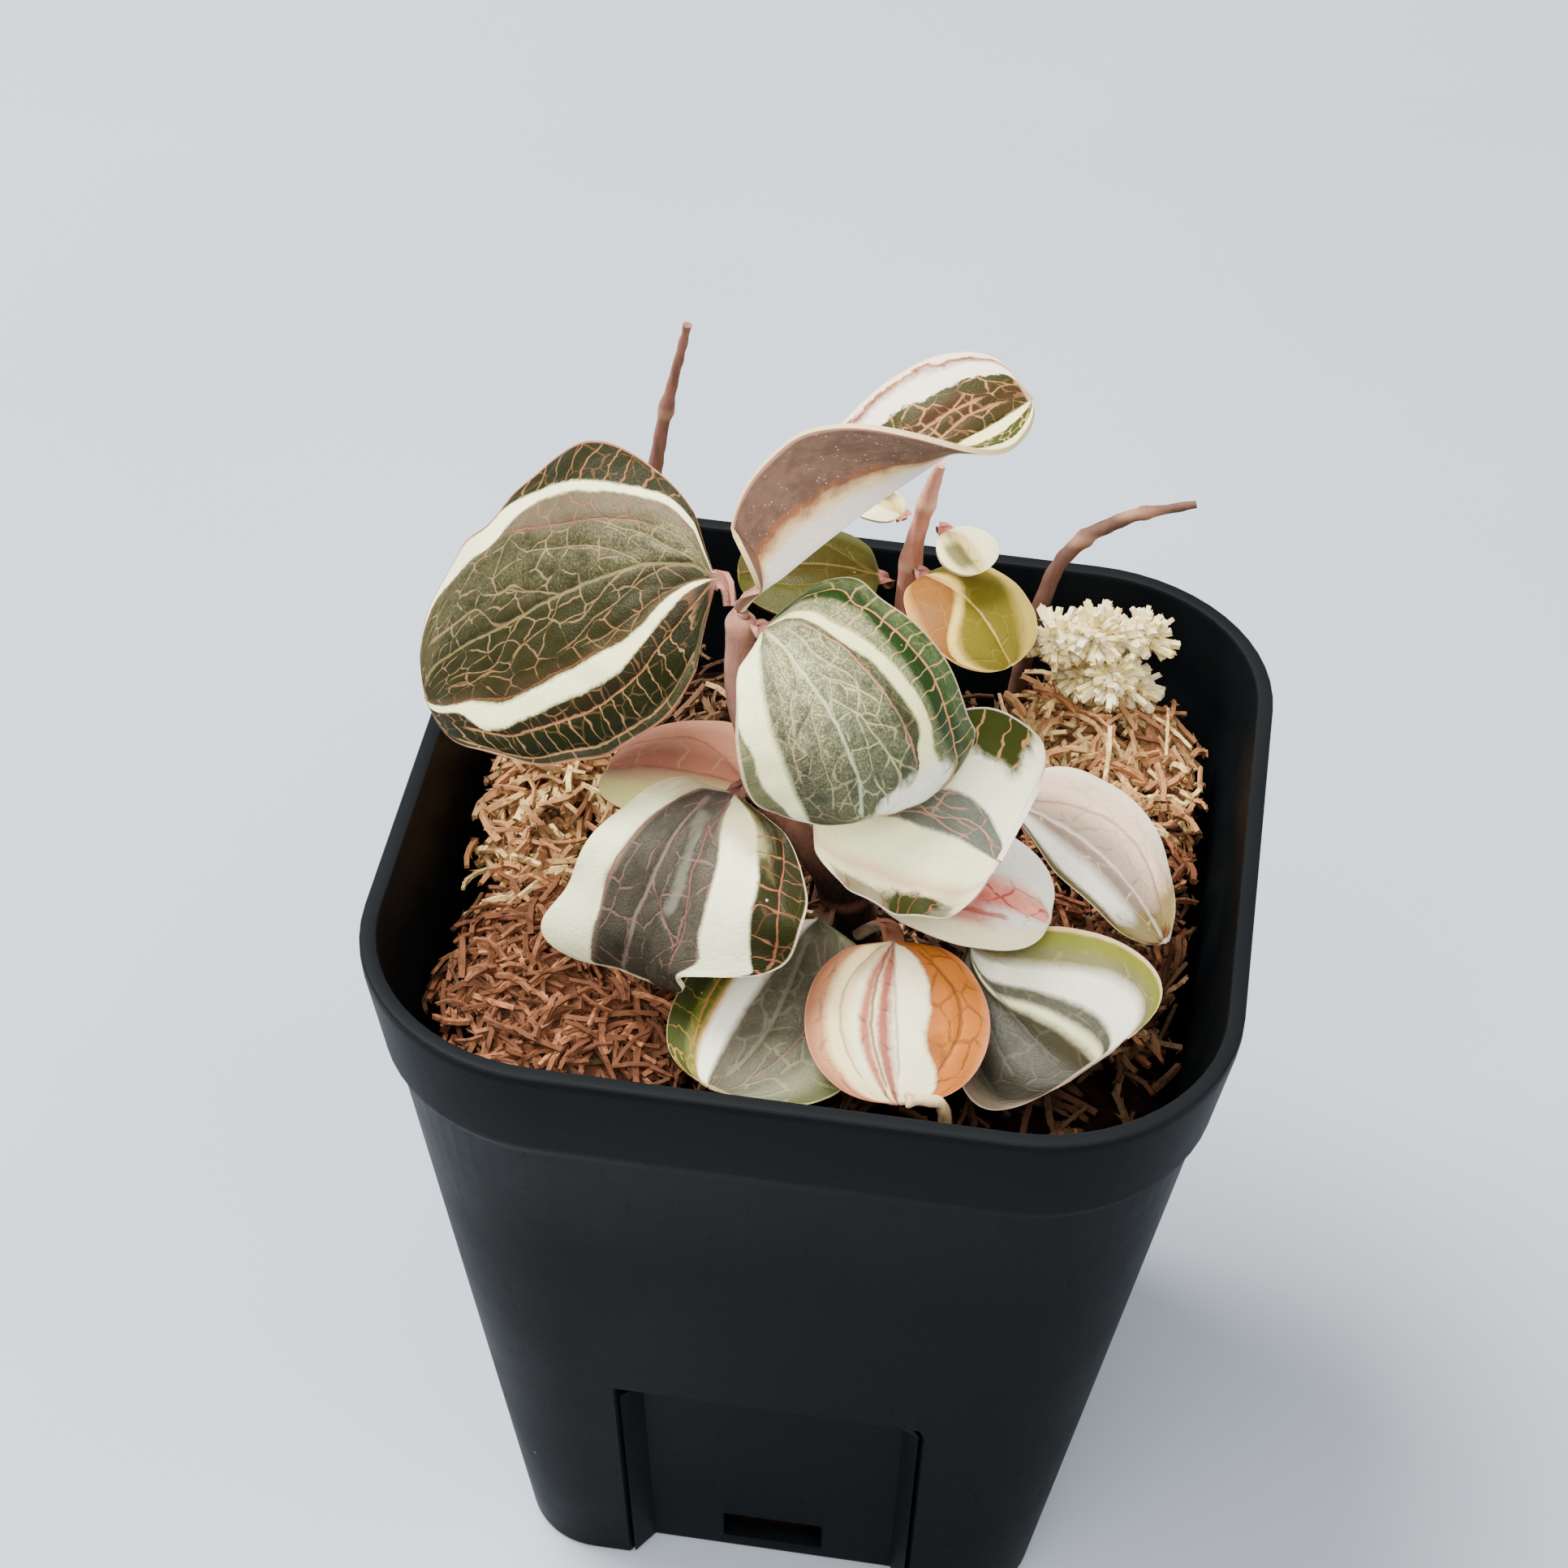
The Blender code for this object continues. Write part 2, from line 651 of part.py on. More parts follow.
LEAVES = (
    # Top storey
    Leaf("leaf_top_left", (-7.9, -7.9, 101.0), (-9.2, -6.6, 102.3), 180, -12, 28.5, (12.0, 12.6), 44,
         roll=-34, fold=((10, 8), (10, 8)), curl=((-55, -45), (-40, -30)), low=(0.4, 0.63), high=(0.48, 0.8),
         lobes=(("right", 0.37, 0.16, 2.4), ("right", 0.64, 0.07, -1.7), ("left", 0.87, 0.1, -1.0)),
         wave=0.3, waves=3.5),
    Leaf("leaf_top_folded", (-6.7, -9.2, 101.9), (-5.6, -9.0, 103.6), 38, 32, 25.5, (8.4, 8.8), 18, roll=-30,
         twist=20, fold=((20, 50), (80, 5)), curl=((-10, -40), (0, 0)), low=(0.4, 0.4), high=(0.3, 0.65),
         ease=(0.3, 0.9)),
    Leaf("leaf_top_front", (-5.4, -10.0, 100.7), (-4.9, -10.3, 101.0), -32, 8, 19.0, (9.4, 9.9), 107, roll=23,
         curl=((-45, -46), (10, -50)), low=(0.45, 0.5), high=(0.23, 0.38),
         lobes=(("left", 0.12, 0.1, 2.9), ("left", 0.9, 0.1, 2.6), ("right", 0.9, 0.1, -0.45),
                ("right", 0.16, 0.1, -0.5))),
    # Middle storey
    Leaf("leaf_middle_left", (-6.0, -11.3, 85.7), (-6.5, -12.4, 85.7), -118, -5, 17.6, (11.1, 8.0), 87,
         curl=((-40, -50), (-29, 15)), low=(0.46, 0.45), high=(0.52, 0.15),
         lobes=(("right", 0.895, 0.13, 1.7), ("left", 0.865, 0.1, -6.2)), wave=0.4, waves=2.5),
    Leaf("leaf_middle_right", (-0.75, -12.1, 84.2), (-0.2, -12.3, 84.5), -13, 24, 17, (13.5, 6.8), 42,
         roll=28, curl=((-30, -50), (-40, -40)), low=(0.7, 0.45), high=(0.2, 0.3), wave=0.5, waves=3),
    Leaf("leaf_middle_back", (-3.9, -9.8, 83.2), (-5.6, -8.9, 83.5), 168, 8, 13, (5, 8), 40),
    # Lowest storey
    Leaf("leaf_low_right", (5.0, -5.2, 68.5), (14.2, -0.6, 77.8), -26, 12, 18, (6.5, 3.6), 72, roll=18,
         curl=((-40, -60), (-40, -40)), low=(0.5, 0.8), high=(0.8, 0.6), wave=0.4, waves=2),
    Leaf("leaf_low_right_front", (4.4, -8.1, 72.2), (12.8, -13.5, 74.0), -34, 5, 14.0, (9, 9.5), 45, roll=25,
         low=(0.95, 0.6), high=(0.25, 0.25)),
    Leaf("leaf_low_front", (3.7, -9.6, 69.3), (7.0, -15.5, 75.0), -80, 12, 14.5, (7.4, 7.4), 60),
    Leaf("leaf_low_left_front", (1.0, -10.1, 70.8), (0.6, -12.6, 73.6), -113, -5, 17, (10, 7), 25,
         low=(0.5, 0.5)),
    Leaf("leaf_low_under", (2.3, -11.0, 78.2), (4.6, -12.6, 78.7), -2, 10, 14.5, (8, 4.5), 35, roll=10),
    # Back shoot
    Leaf("leaf_back_left", (0.7, 25.7, 77.2), (0.0, 25.3, 78.5), 190, 25, 12.5, (6.5, 6.5), 50,
         high=(0.45, 0.45)),
    Leaf("leaf_back_right", (3.4, 24.5, 80.0), (4.1, 23.9, 80.3), -40, 20, 12, (6, 5.5), 70,
         high=(0.45, 0.45)),
    Leaf("leaf_back_top_left", (1.85, 25.55, 85.0), (1.6, 25.65, 85.2), 160, 25, 4.8, (2.4, 2.4), 40,
         high=(0.45, 0.45)),
    Leaf("leaf_back_top_right", (5.0, 24.8, 84.7), (5.9, 24.7, 84.9), 0, 10, 5, (2.8, 2.8), 50,
         curl=((-15, -15), (-15, -15)), low=(0.6, 0.6), high=(0.45, 0.45)),
)

LEAF_LOOKS = {
    "leaf_top_left": "leaf_green",
    "leaf_top_folded": "leaf_pink_back",
    "leaf_top_front": "leaf_silver",
    "leaf_middle_left": "leaf_grey",
    "leaf_middle_right": "leaf_cream",
    "leaf_middle_back": "leaf_pink_back",
    "leaf_low_right": "leaf_cream",
    "leaf_low_right_front": "leaf_grey",
    "leaf_low_front": "leaf_orange",
    "leaf_low_left_front": "leaf_grey",
    "leaf_low_under": "leaf_cream",
    "leaf_back_left": "leaf_yellow_green",
    "leaf_back_right": "leaf_yellow_green",
    "leaf_back_top_left": "leaf_cream",
    "leaf_back_top_right": "leaf_cream",
}

COLOURS = {
    "pot_plastic": ((0.013, 0.014, 0.017), 0.5),
    "moss_dark": ((0.13, 0.045, 0.02), 0.95),
    "moss_rust": ((0.30, 0.11, 0.045), 0.95),
    "moss_beige": ((0.50, 0.38, 0.23), 0.95),
    "moss_cream": ((0.78, 0.70, 0.50), 0.95),
    "moss_pale": ((0.60, 0.50, 0.36), 0.95),
    "stem_brown": ((0.30, 0.17, 0.14), 0.45),
    "stem_pink": ((0.60, 0.42, 0.38), 0.5),
    "stalk_dry": ((0.32, 0.17, 0.13), 0.8),
    "leaf_green": ((0.09, 0.12, 0.035), 0.4),
    "leaf_silver": ((0.24, 0.29, 0.23), 0.4),
    "leaf_grey": ((0.30, 0.30, 0.25), 0.4),
    "leaf_cream": ((0.78, 0.77, 0.66), 0.45),
    "leaf_pink_back": ((0.52, 0.34, 0.29), 0.5),
    "leaf_orange": ((0.62, 0.38, 0.24), 0.45),
    "leaf_yellow_green": ((0.35, 0.33, 0.05), 0.45),
}

# Moss zones: centre x and y, spread x and y, strands, length, lift, radius
DARK_RIGHT_ZONE = (23.0, 5.0, 4.0, 6.0, 8, 8.0, 1.8, 0.5)
DARK_BACK_ZONE = (7.0, 14.0, 6.0, 4.0, 6, 8.0, 1.4, 0.5)
DARK_LEFT_ZONE = (-10.0, -1.0, 4.0, 5.0, 6, 8.0, 1.4, 0.5)
RUST_ZONE = (-21.0, -15.0, 7.5, 8.0, 14, 10.0, 2.2, 0.5)
BEIGE_ZONE = (-24.0, 7.0, 4.5, 8.0, 12, 9.0, 2.6, 0.5)
CREAM_ZONE = (19.5, 24.0, 5.0, 3.8, 10, 6.0, 7.0, 0.6)
PALE_ZONE = (27.5, -7.0, 1.6, 4.5, 5, 7.0, 1.8, 0.5)


def main():
    """Build the whole plant in its pot."""
    group, cutters = start_empty()
    looks = {name: material(name, *values) for name, values in COLOURS.items()}
    make_pot(group, cutters, looks["pot_plastic"])

    bare_bed = make_bed("bare_bed", group, None)
    bed_strands = []
    for zone in (DARK_RIGHT_ZONE, DARK_BACK_ZONE, DARK_LEFT_ZONE):
        bed_strands += strands(zone, group)
    bed = unite("moss_bed", [bare_bed] + bed_strands, group, looks["moss_dark"])
    clearance = as_cutter(make_bed("bed_clearance", cutters, None, GAP), cutters)

    stems = (
        ("main_stem", STEM_PATH, STEM_RADII, "stem_brown"),
        ("back_shoot_stem", BACK_STEM_PATH, BACK_STEM_RADII, "stem_pink"),
        ("dry_stalk_left", LEFT_STALK_PATH, LEFT_STALK_RADII, "stalk_dry"),
        ("dry_stalk_right", RIGHT_STALK_PATH, RIGHT_STALK_RADII, "stalk_dry"),
        ("dry_twig", TWIG_PATH, TWIG_RADII, "moss_pale"),
    )
    for name, points, radii, look in stems:
        tube(name, smooth_path(points, PATH_STEPS), radii, group, looks[look])
        x, y, z = points[0]
        foot = ((x, y, z - GAP),) + points[1:]
        wide = [radius + STEM_HOLE_GAP for radius in radii]
        hole = tube(name + "_hole", smooth_path(foot, PATH_STEPS)[:2 * PATH_STEPS + 1], wide, cutters, None)
        cut(bed, as_cutter(hole, cutters))
    freeze(bed)
    keep_largest(bed)

    make_tuft("moss_rust", RUST_ZONE, (9.0, 9.0, 2.0), group, looks["moss_rust"], clearance)
    make_tuft("moss_beige", BEIGE_ZONE, (5.5, 9.0, 2.0), group, looks["moss_beige"], clearance)
    make_tuft("moss_cream", CREAM_ZONE, (5.3, 4.1, 10.2), group, looks["moss_cream"], clearance)
    make_tuft("moss_pale", PALE_ZONE, (2.2, 5.0, 1.6), group, looks["moss_pale"], clearance)

    for leaf in LEAVES:
        make_leaf(leaf, group, looks[LEAF_LOOKS[leaf.name]])


main()
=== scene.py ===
"""Looks of a variegated jewel orchid in a black nursery pot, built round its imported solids."""
import logging
import math
import random
from contextlib import contextmanager
from dataclasses import dataclass
from enum import Enum
from functools import cached_property
from typing import Callable, Iterator, Optional, Sequence, Union

import bmesh
import bpy
import numpy as np
from bpy.types import ID, Material, Mesh, Node, NodeSocket, NodeTree, Object
from mathutils import Matrix, Vector, noise


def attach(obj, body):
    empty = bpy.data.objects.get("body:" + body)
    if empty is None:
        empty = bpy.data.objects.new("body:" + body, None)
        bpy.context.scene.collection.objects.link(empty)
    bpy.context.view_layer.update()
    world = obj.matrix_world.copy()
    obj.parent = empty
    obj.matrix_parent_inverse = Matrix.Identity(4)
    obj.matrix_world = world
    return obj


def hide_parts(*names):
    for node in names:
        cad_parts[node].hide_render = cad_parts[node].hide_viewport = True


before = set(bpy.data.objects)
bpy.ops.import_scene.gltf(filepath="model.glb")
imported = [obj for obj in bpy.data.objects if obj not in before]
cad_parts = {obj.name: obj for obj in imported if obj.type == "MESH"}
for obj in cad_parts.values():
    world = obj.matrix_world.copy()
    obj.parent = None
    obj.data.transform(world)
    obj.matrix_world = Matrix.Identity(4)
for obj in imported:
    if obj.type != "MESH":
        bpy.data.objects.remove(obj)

LOG = logging.getLogger("jewel_orchid")

# Sizes are millimetres here and become metres when a mesh is made
MM = 0.001
PHOTO_SIZE = 1932

Point = tuple[float, float, float]
Pair = tuple[float, float]
Line = tuple[float, ...]


class Slot(Enum):
    """Material slots of the record."""

    POT = "pot_plastic"
    MOSS_DARK = "moss_dark"
    MOSS_RUST = "moss_rust"
    MOSS_BEIGE = "moss_beige"
    MOSS_CREAM = "moss_cream"
    MOSS_PALE = "moss_pale"
    STEM_BROWN = "stem_brown"
    STEM_PINK = "stem_pink"
    STALK = "stalk_dry"
    TWIG = "twig_pale"
    LEAF_GREEN = "leaf_green"
    LEAF_SILVER = "leaf_silver"
    LEAF_GREY = "leaf_grey"
    LEAF_CREAM = "leaf_cream"
    LEAF_PINK_BACK = "leaf_pink_back"
    LEAF_ORANGE = "leaf_orange"
    LEAF_YELLOW_GREEN = "leaf_yellow_green"


# The view's tone curve, so that a colour can be given as it shows
TONE_SCALE = 0.145
TONE_POWER = 1.025
TONE_KNEE = 0.946
TONE_RISE = 1.7
LIGHT_LEVEL = 2.9
BRIGHTEST = 0.9
HUE_KEPT = 0.4      # how far a colour past the brightest one keeps its hue


def paint(code: str) -> tuple[float, float, float, float]:
    """Surface colour that shows as a six-digit hex code under the studio's light.

    Args:
        code: red, green and blue as seen on a screen, such as "2c3312".

    Returns:
        The linear colour with full alpha.
    """
    shown = [int(code[place:place + 2], 16) / 255 for place in (0, 2, 4)]
    light = [TONE_SCALE * v ** TONE_POWER / (1 - TONE_KNEE * v) ** TONE_RISE / LIGHT_LEVEL for v in shown]
    excess = max(1.0, max(light) / BRIGHTEST)
    red, green, blue = (HUE_KEPT * value / excess + (1 - HUE_KEPT) * min(BRIGHTEST, value) for value in light)
    return (red, green, blue, 1.0)


# Node trees

class Value:
    """What a node puts out. Plus, minus, times, divided by and | (the larger) add Math nodes."""

    def __init__(self, sheet: "Sheet", socket: NodeSocket) -> None:
        """Keep the socket and its sheet."""
        self.sheet, self.socket = sheet, socket

    def __add__(self, other: "Feed") -> "Value":
        """Sum with another value."""
        return self.sheet.math("ADD", self, other)

    def __sub__(self, other: "Feed") -> "Value":
        """This less another value."""
        return self.sheet.math("SUBTRACT", self, other)

    def __rsub__(self, other: float) -> "Value":
        """A number less this."""
        return self.sheet.math("SUBTRACT", other, self)

    def __mul__(self, other: "Feed") -> "Value":
        """Product with another value."""
        return self.sheet.math("MULTIPLY", self, other)

    def __truediv__(self, other: "Feed") -> "Value":
        """This divided by another value."""
        return self.sheet.math("DIVIDE", self, other)

    def __rtruediv__(self, other: float) -> "Value":
        """A number divided by this."""
        return self.sheet.math("DIVIDE", other, self)

    def __or__(self, other: "Feed") -> "Value":
        """The larger of two values."""
        return self.sheet.math("MAXIMUM", self, other)

    def __abs__(self) -> "Value":
        """This without its sign."""
        return self.sheet.math("ABSOLUTE", self)


Feed = Union[Value, float, Sequence[float]]
Output = Union[int, str]


class Sheet:
    """Adds nodes to one node tree and joins them."""

    def __init__(self, tree: NodeTree) -> None:
        """Work on a tree."""
        self.tree = tree

    def feed(self, socket: NodeSocket, value: Feed) -> None:
        """Link a socket to a value, or set its own."""
        if isinstance(value, Value):
            self.tree.links.new(value.socket, socket)
        else:
            socket.default_value = value

    def node(self, kind: str, feeds: dict[Output, Feed], **settings: object) -> Node:
        """A node with its settings made and its inputs fed by number or name."""
        made = self.tree.nodes.new("ShaderNode" + kind)
        for name, value in settings.items():
            setattr(made, name, value)
        for place, value in feeds.items():
            self.feed(made.inputs[place], value)
        return made

    def value(self, kind: str, feeds: dict[Output, Feed], output: Output = 0, **settings: object) -> Value:
        """One output of a new node."""
        return Value(self, self.node(kind, feeds, **settings).outputs[output])

    def values(self, kind: str, feeds: dict[Output, Feed], **settings: object) -> dict[str, Value]:
        """All outputs of a new node, by name."""
        return {socket.name: Value(self, socket) for socket in self.node(kind, feeds, **settings).outputs}

    def math(self, operation: str, *values: Feed, clamp: bool = False) -> Value:
        """Result of a Math node."""
        return self.value("Math", dict(enumerate(values)), operation=operation, use_clamp=clamp)

    def fade(self, value: Feed, low: Feed, high: Feed, start: Feed = 0.0, end: Feed = 1.0) -> Value:
        """A smooth step from start, where the value is low, to end, where it is high."""
        feeds = {"Value": value, "From Min": low, "From Max": high, "To Min": start, "To Max": end}
        return self.value("MapRange", feeds, interpolation_type="SMOOTHSTEP")

    def mix(self, share: Feed, first: Feed, second: Feed, blend_type: str = "MIX") -> Value:
        """Mixture of two colours."""
        return self.value("Mix", {"Factor": share, 6: first, 7: second}, 2, data_type="RGBA",
                          blend_type=blend_type, clamp_factor=True)

    def cover(self, colour: Value, code: str, share: Feed) -> Value:
        """A colour under another, given by its code, that covers a share of it."""
        return self.mix(share, colour, paint(code))

    def shaded(self, share: float, colour: Value, tone: Value) -> Value:
        """A colour darkened or lightened by a tone, for a share."""
        return self.mix(share, colour, self.vector(tone, tone, tone), "MULTIPLY")

    def vector(self, *parts: Feed) -> Value:
        """A vector of two or three values."""
        return self.value("CombineXYZ", dict(enumerate(parts)))

    def parts(self, vector: Feed) -> list[Value]:
        """The three values of a vector."""
        return list(self.values("SeparateXYZ", {0: vector}).values())

    def move(self, operation: str, first: Feed, second: Feed) -> Value:
        """Result of a Vector Math node."""
        return self.value("VectorMath", {0: first, 1: second}, operation=operation)

    def scaled(self, vector: Feed, scale: Feed) -> Value:
        """A vector times a value."""
        return self.value("VectorMath", {0: vector, "Scale": scale}, operation="SCALE")

    def noise(self, vector: Feed, scale: Feed, detail: float = 2.0, rough: float = 0.5,
              output: str = "Fac") -> Value:
        """Value or colour of a noise texture."""
        feeds = {"Vector": vector, "Scale": scale, "Detail": detail, "Roughness": rough}
        return self.value("TexNoise", feeds, output)

    def cells(self, vector: Feed, scale: Feed, spread: float = 1.0, **settings: object) -> dict[str, Value]:
        """Outputs of a Voronoi texture."""
        return self.values("TexVoronoi", {"Vector": vector, "Scale": scale, "Randomness": spread}, **settings)

    def ramp(self, value: Feed, stops: Sequence[tuple[float, Sequence[float]]]) -> Value:
        """Colour of a ramp with the given stops."""
        made = self.node("ValToRGB", {0: value})
        elements = made.color_ramp.elements
        while len(elements) < len(stops):
            elements.new(1.0)
        for element, (place, colour) in zip(elements, stops):
            element.position = min(1.0, max(0.0, place))
            element.color = colour
        return Value(self, made.outputs[0])

    def group(self, tree: NodeTree, **values: Feed) -> dict[str, Value]:
        """Outputs of a shared node group, fed by input names with _ for a space."""
        return self.values("Group", {name.replace("_", " "): value for name, value in values.items()},
                           node_tree=tree)

    def kept(self, name: str, output: str = "Fac") -> Value:
        """A value that the mesh keeps for each vertex."""
        return self.value("Attribute", {}, output, attribute_name=name)

    def millimetres(self) -> Value:
        """Object coordinates in millimetres."""
        return self.scaled(self.value("TexCoord", {}, "Object"), 1 / MM)


class GroupSheet(Sheet):
    """A sheet on a new shader node group."""

    def __init__(self, name: str, inputs: dict[str, Optional[float]], outputs: Sequence[str]) -> None:
        """Make the group's sockets.

        Args:
            name: name of the group.
            inputs: usual values of the inputs by name, None for a vector.
            outputs: names of the outputs, which are all single values.
        """
        super().__init__(bpy.data.node_groups.new(name, "ShaderNodeTree"))
        for label, usual in inputs.items():
            kind = "NodeSocketVector" if usual is None else "NodeSocketFloat"
            socket = self.tree.interface.new_socket(label, in_out="INPUT", socket_type=kind)
            if usual is not None:
                socket.default_value = usual
        for label in outputs:
            self.tree.interface.new_socket(label, in_out="OUTPUT", socket_type="NodeSocketFloat")
        sockets = self.tree.nodes.new("NodeGroupInput").outputs
        self.given = [Value(self, sockets[label]) for label in inputs]
        self.result = self.tree.nodes.new("NodeGroupOutput").inputs

    def give(self, *values: Value) -> NodeTree:
        """Feed the outputs in their order and hand the group back."""
        for socket, value in zip(self.result, values):
            self.feed(socket, value)
        return self.tree


class MaterialSheet(Sheet):
    """A sheet on a new material."""

    def __init__(self, name: str) -> None:
        """Make the material."""
        self.material = bpy.data.materials.new(name)
        self.material.use_nodes = True
        super().__init__(self.material.node_tree)
        self.shader = self.tree.nodes["Principled BSDF"].inputs

    def finish(self, colour: Value, rough: Feed, gloss: float, height: Value, depth: float, strength: float,
               flesh: Optional[tuple[float, Point, float]] = None) -> Material:
        """Feed the shader and hand the material back.

        Args:
            colour: base colour.
            rough: roughness.
            gloss: specular level.
            height: relief from 0 to 1.
            depth: depth of the relief, mm.
            strength: strength of the relief.
            flesh: share of light that sinks in, its reach for red, green and blue, and their scale, mm.

        Returns:
            The material.
        """
        feeds = {"Base Color": colour, "Roughness": rough, "Specular IOR Level": gloss}
        if flesh:
            feeds.update({"Subsurface Weight": flesh[0], "Subsurface Radius": flesh[1],
                          "Subsurface Scale": flesh[2] * MM})
        relief = {"Height": height, "Distance": depth * MM, "Strength": strength}
        feeds["Normal"] = self.value("Bump", relief)
        for name, value in feeds.items():
            self.feed(self.shader[name], value)
        return self.material


class Effects:
    """Node groups that several finishes share, each built once, when it is first needed."""

    @cached_property
    def blade_place(self) -> NodeTree:
        """Where a point lies on its blade.

        Returns:
            A group with Lane, the place across the stripes with ragged edges, Along from base to tip,
            Reach from the midrib to the margin, and both distances in millimetres.
        """
        sheet = GroupSheet("blade_place", {"Half": 10.0, "Length": 20.0, "Ragged": 0.02, "Seed": 0.0},
                           ("Lane", "Along", "Reach", "Across mm", "Along mm"))
        half, length, ragged, seed = sheet.given
        x, along, _ = sheet.parts(sheet.value("UVMap", {}, uv_map="blade"))
        side = x * 2.0 - 1.0
        across_mm, along_mm = side * half, along * length
        spot = sheet.vector(along_mm, across_mm, seed)
        coarse, fine = sheet.noise(spot, 0.45, 2.0) - 0.5, sheet.noise(spot, 2.2, 2.0, 0.5) - 0.5
        lane = sheet.kept("lane") + (fine * 0.6 + coarse) * ragged
        return sheet.give(lane, along, abs(side), across_mm, along_mm)

    @cached_property
    def vein_net(self) -> NodeTree:
        """A net of wavy veinlets, some of which end freely.

        Returns:
            A group whose Mask is 1 on a vein; cells are long across a blade where Cell Across is large.
        """
        inputs = {"Along": 0.0, "Across": 0.0, "Cell Along": 3.0, "Cell Across": 2.5, "Width": 0.05,
                  "Squiggle": 1.0, "Breaks": 0.5, "Seed": 0.0}
        sheet = GroupSheet("vein_net", inputs, ("Mask",))
        along, across, cell_along, cell_across, thickness, squiggle, breaks, seed = sheet.given
        spot = sheet.vector(along, across, seed)
        bent = sheet.move("SUBTRACT", sheet.noise(spot, 0.5, 2.0, 0.55, "Color"), (0.5, 0.5, 0.5))
        x, y, _ = sheet.parts(sheet.move("ADD", spot, sheet.scaled(bent, squiggle)))
        cell = sheet.cells(sheet.vector(x / cell_along, y / cell_across + seed), 1.0, 0.9,
                           feature="DISTANCE_TO_EDGE", voronoi_dimensions="2D")
        patch = sheet.noise(sheet.move("ADD", spot, (31.0, 17.0, 5.0)), 0.55, 2.0, 0.6)
        shown = sheet.fade(patch, breaks * 0.2 + 0.28, breaks * 0.2 + 0.42)
        width = thickness * (shown * 0.75 + 0.25)
        line = sheet.fade(cell["Distance"], width * 0.45, width * 1.5, 1.0, 0.0)
        return sheet.give(line * (shown | (1.0 - breaks)))

    @cached_property
    def nerve(self) -> NodeTree:
        """One drawn vein: strongest on its line, thinner and broken toward its ends.

        Returns:
            A group whose Mask is 1 on the vein, from its signed Distance in millimetres.
        """
        sheet = GroupSheet("drawn_nerve", {"Distance": 1.0, "Along": 0.0, "Start": 0.0, "End": 1.0,
                                           "Width": 0.25, "Wander": 0.5}, ("Mask",))
        distance, along, start, end, thickness, wander = sheet.given
        rise = sheet.fade(along, start - 0.02, start + 0.02)
        fall = sheet.fade(along, end - 0.05, end, 1.0, 0.0)
        width = thickness * (fall * 0.55 + 0.45)
        line = sheet.fade(abs(distance + (wander * 0.5 - 0.25)), width * 0.3, width * 0.75, 1.0, 0.0)
        return sheet.give(line * (rise * fall))

    @cached_property
    def rungs(self) -> NodeTree:
        """Cross veins of a ladder, one at each whole number of the blade's rung count.

        Returns:
            A group whose Mask is 1 on a rung.
        """
        sheet = GroupSheet("ladder_rungs", {"Pitch": 1.6, "Width": 0.25, "Along mm": 0.0, "Across mm": 0.0,
                                            "Seed": 0.0}, ("Mask",))
        pitch, thickness, along_mm, across_mm, seed = sheet.given
        spot = sheet.vector(along_mm, across_mm, seed)
        wander = (sheet.noise(spot, 0.55, 1.6, 0.55) - 0.5) * 0.9
        distance = sheet.math("PINGPONG", sheet.kept("rung") + wander, 0.5) * pitch
        swell = sheet.noise(sheet.move("ADD", spot, (9.0, 4.0, 2.0)), 0.8, 2.0)
        width = thickness * sheet.fade(swell, 0.35, 0.65, 0.5, 1.15)
        line = sheet.fade(distance, width * 0.25, width * 0.75, 1.0, 0.0)
        return sheet.give(line * sheet.fade(along_mm, 0.8, 2.6))

    @cached_property
    def grain(self) -> NodeTree:
        """Fine velvet grain of tiny domed cells.

        Returns:
            A group with Dome for bumps and Glint, the few cells that sparkle, which is painted into colour as
            a highlight.
        """
        sheet = GroupSheet("velvet_grain", {"Vector": None, "Cell": 0.16}, ("Dome", "Glint"))
        vector, size = sheet.given
        cell = sheet.cells(vector, 1.0 / size)
        dome = sheet.math("SUBTRACT", 1.0, cell["Distance"], clamp=True)
        chosen = sheet.fade(sheet.parts(cell["Color"])[0], 0.86, 0.97)
        return sheet.give(dome, chosen * sheet.fade(cell["Distance"], 0.1, 0.42, 1.0, 0.0))

    @cached_property
    def specks(self) -> NodeTree:
        """Sparse round specks of dust.

        Returns:
            A group whose Mask is 1 on a speck; a larger Rarity leaves fewer.
        """
        inputs = {"Vector": None, "Pitch": 3.0, "Size": 0.08, "Rarity": 0.8}
        sheet = GroupSheet("dust_specks", inputs, ("Mask",))
        vector, pitch, usual, rarity = sheet.given
        cell = sheet.cells(vector, 1.0 / pitch)
        red, green, _ = sheet.parts(cell["Color"])
        size = usual * (green + 0.4)
        spot = sheet.fade(cell["Distance"], size * 0.6, size, 1.0, 0.0)
        return sheet.give(spot * sheet.math("GREATER_THAN", red, rarity))

    @cached_property
    def streaks(self) -> NodeTree:
        """Streaks that run up a stem or stalk.

        Returns:
            A group whose Value varies from 0 to 1.
        """
        sheet = GroupSheet("stem_streaks", {"Vector": None, "Fineness": 1.2}, ("Value",))
        vector, fineness = sheet.given
        return sheet.give(sheet.noise(sheet.move("MULTIPLY", vector, (1.0, 1.0, 0.16)), fineness, 4.0, 0.6))


# Finishes of the blades

EVEN_RUNGS = tuple(number / 10 for number in range(10))


@dataclass(frozen=True)
class Band:
    """One lengthwise stripe of a blade, from its lane up to the next band's, right margin to left."""

    start: float
    ground: str
    vein: str = "b9a27a"
    net: float = 0.0
    rungs: float = 0.0
    dust: float = 0.0
    soft: float = 0.015


@dataclass(frozen=True)
class Track:
    """Where one lane runs: places along the blade and across it in turns, in hundredths."""

    lane: float
    line: Line


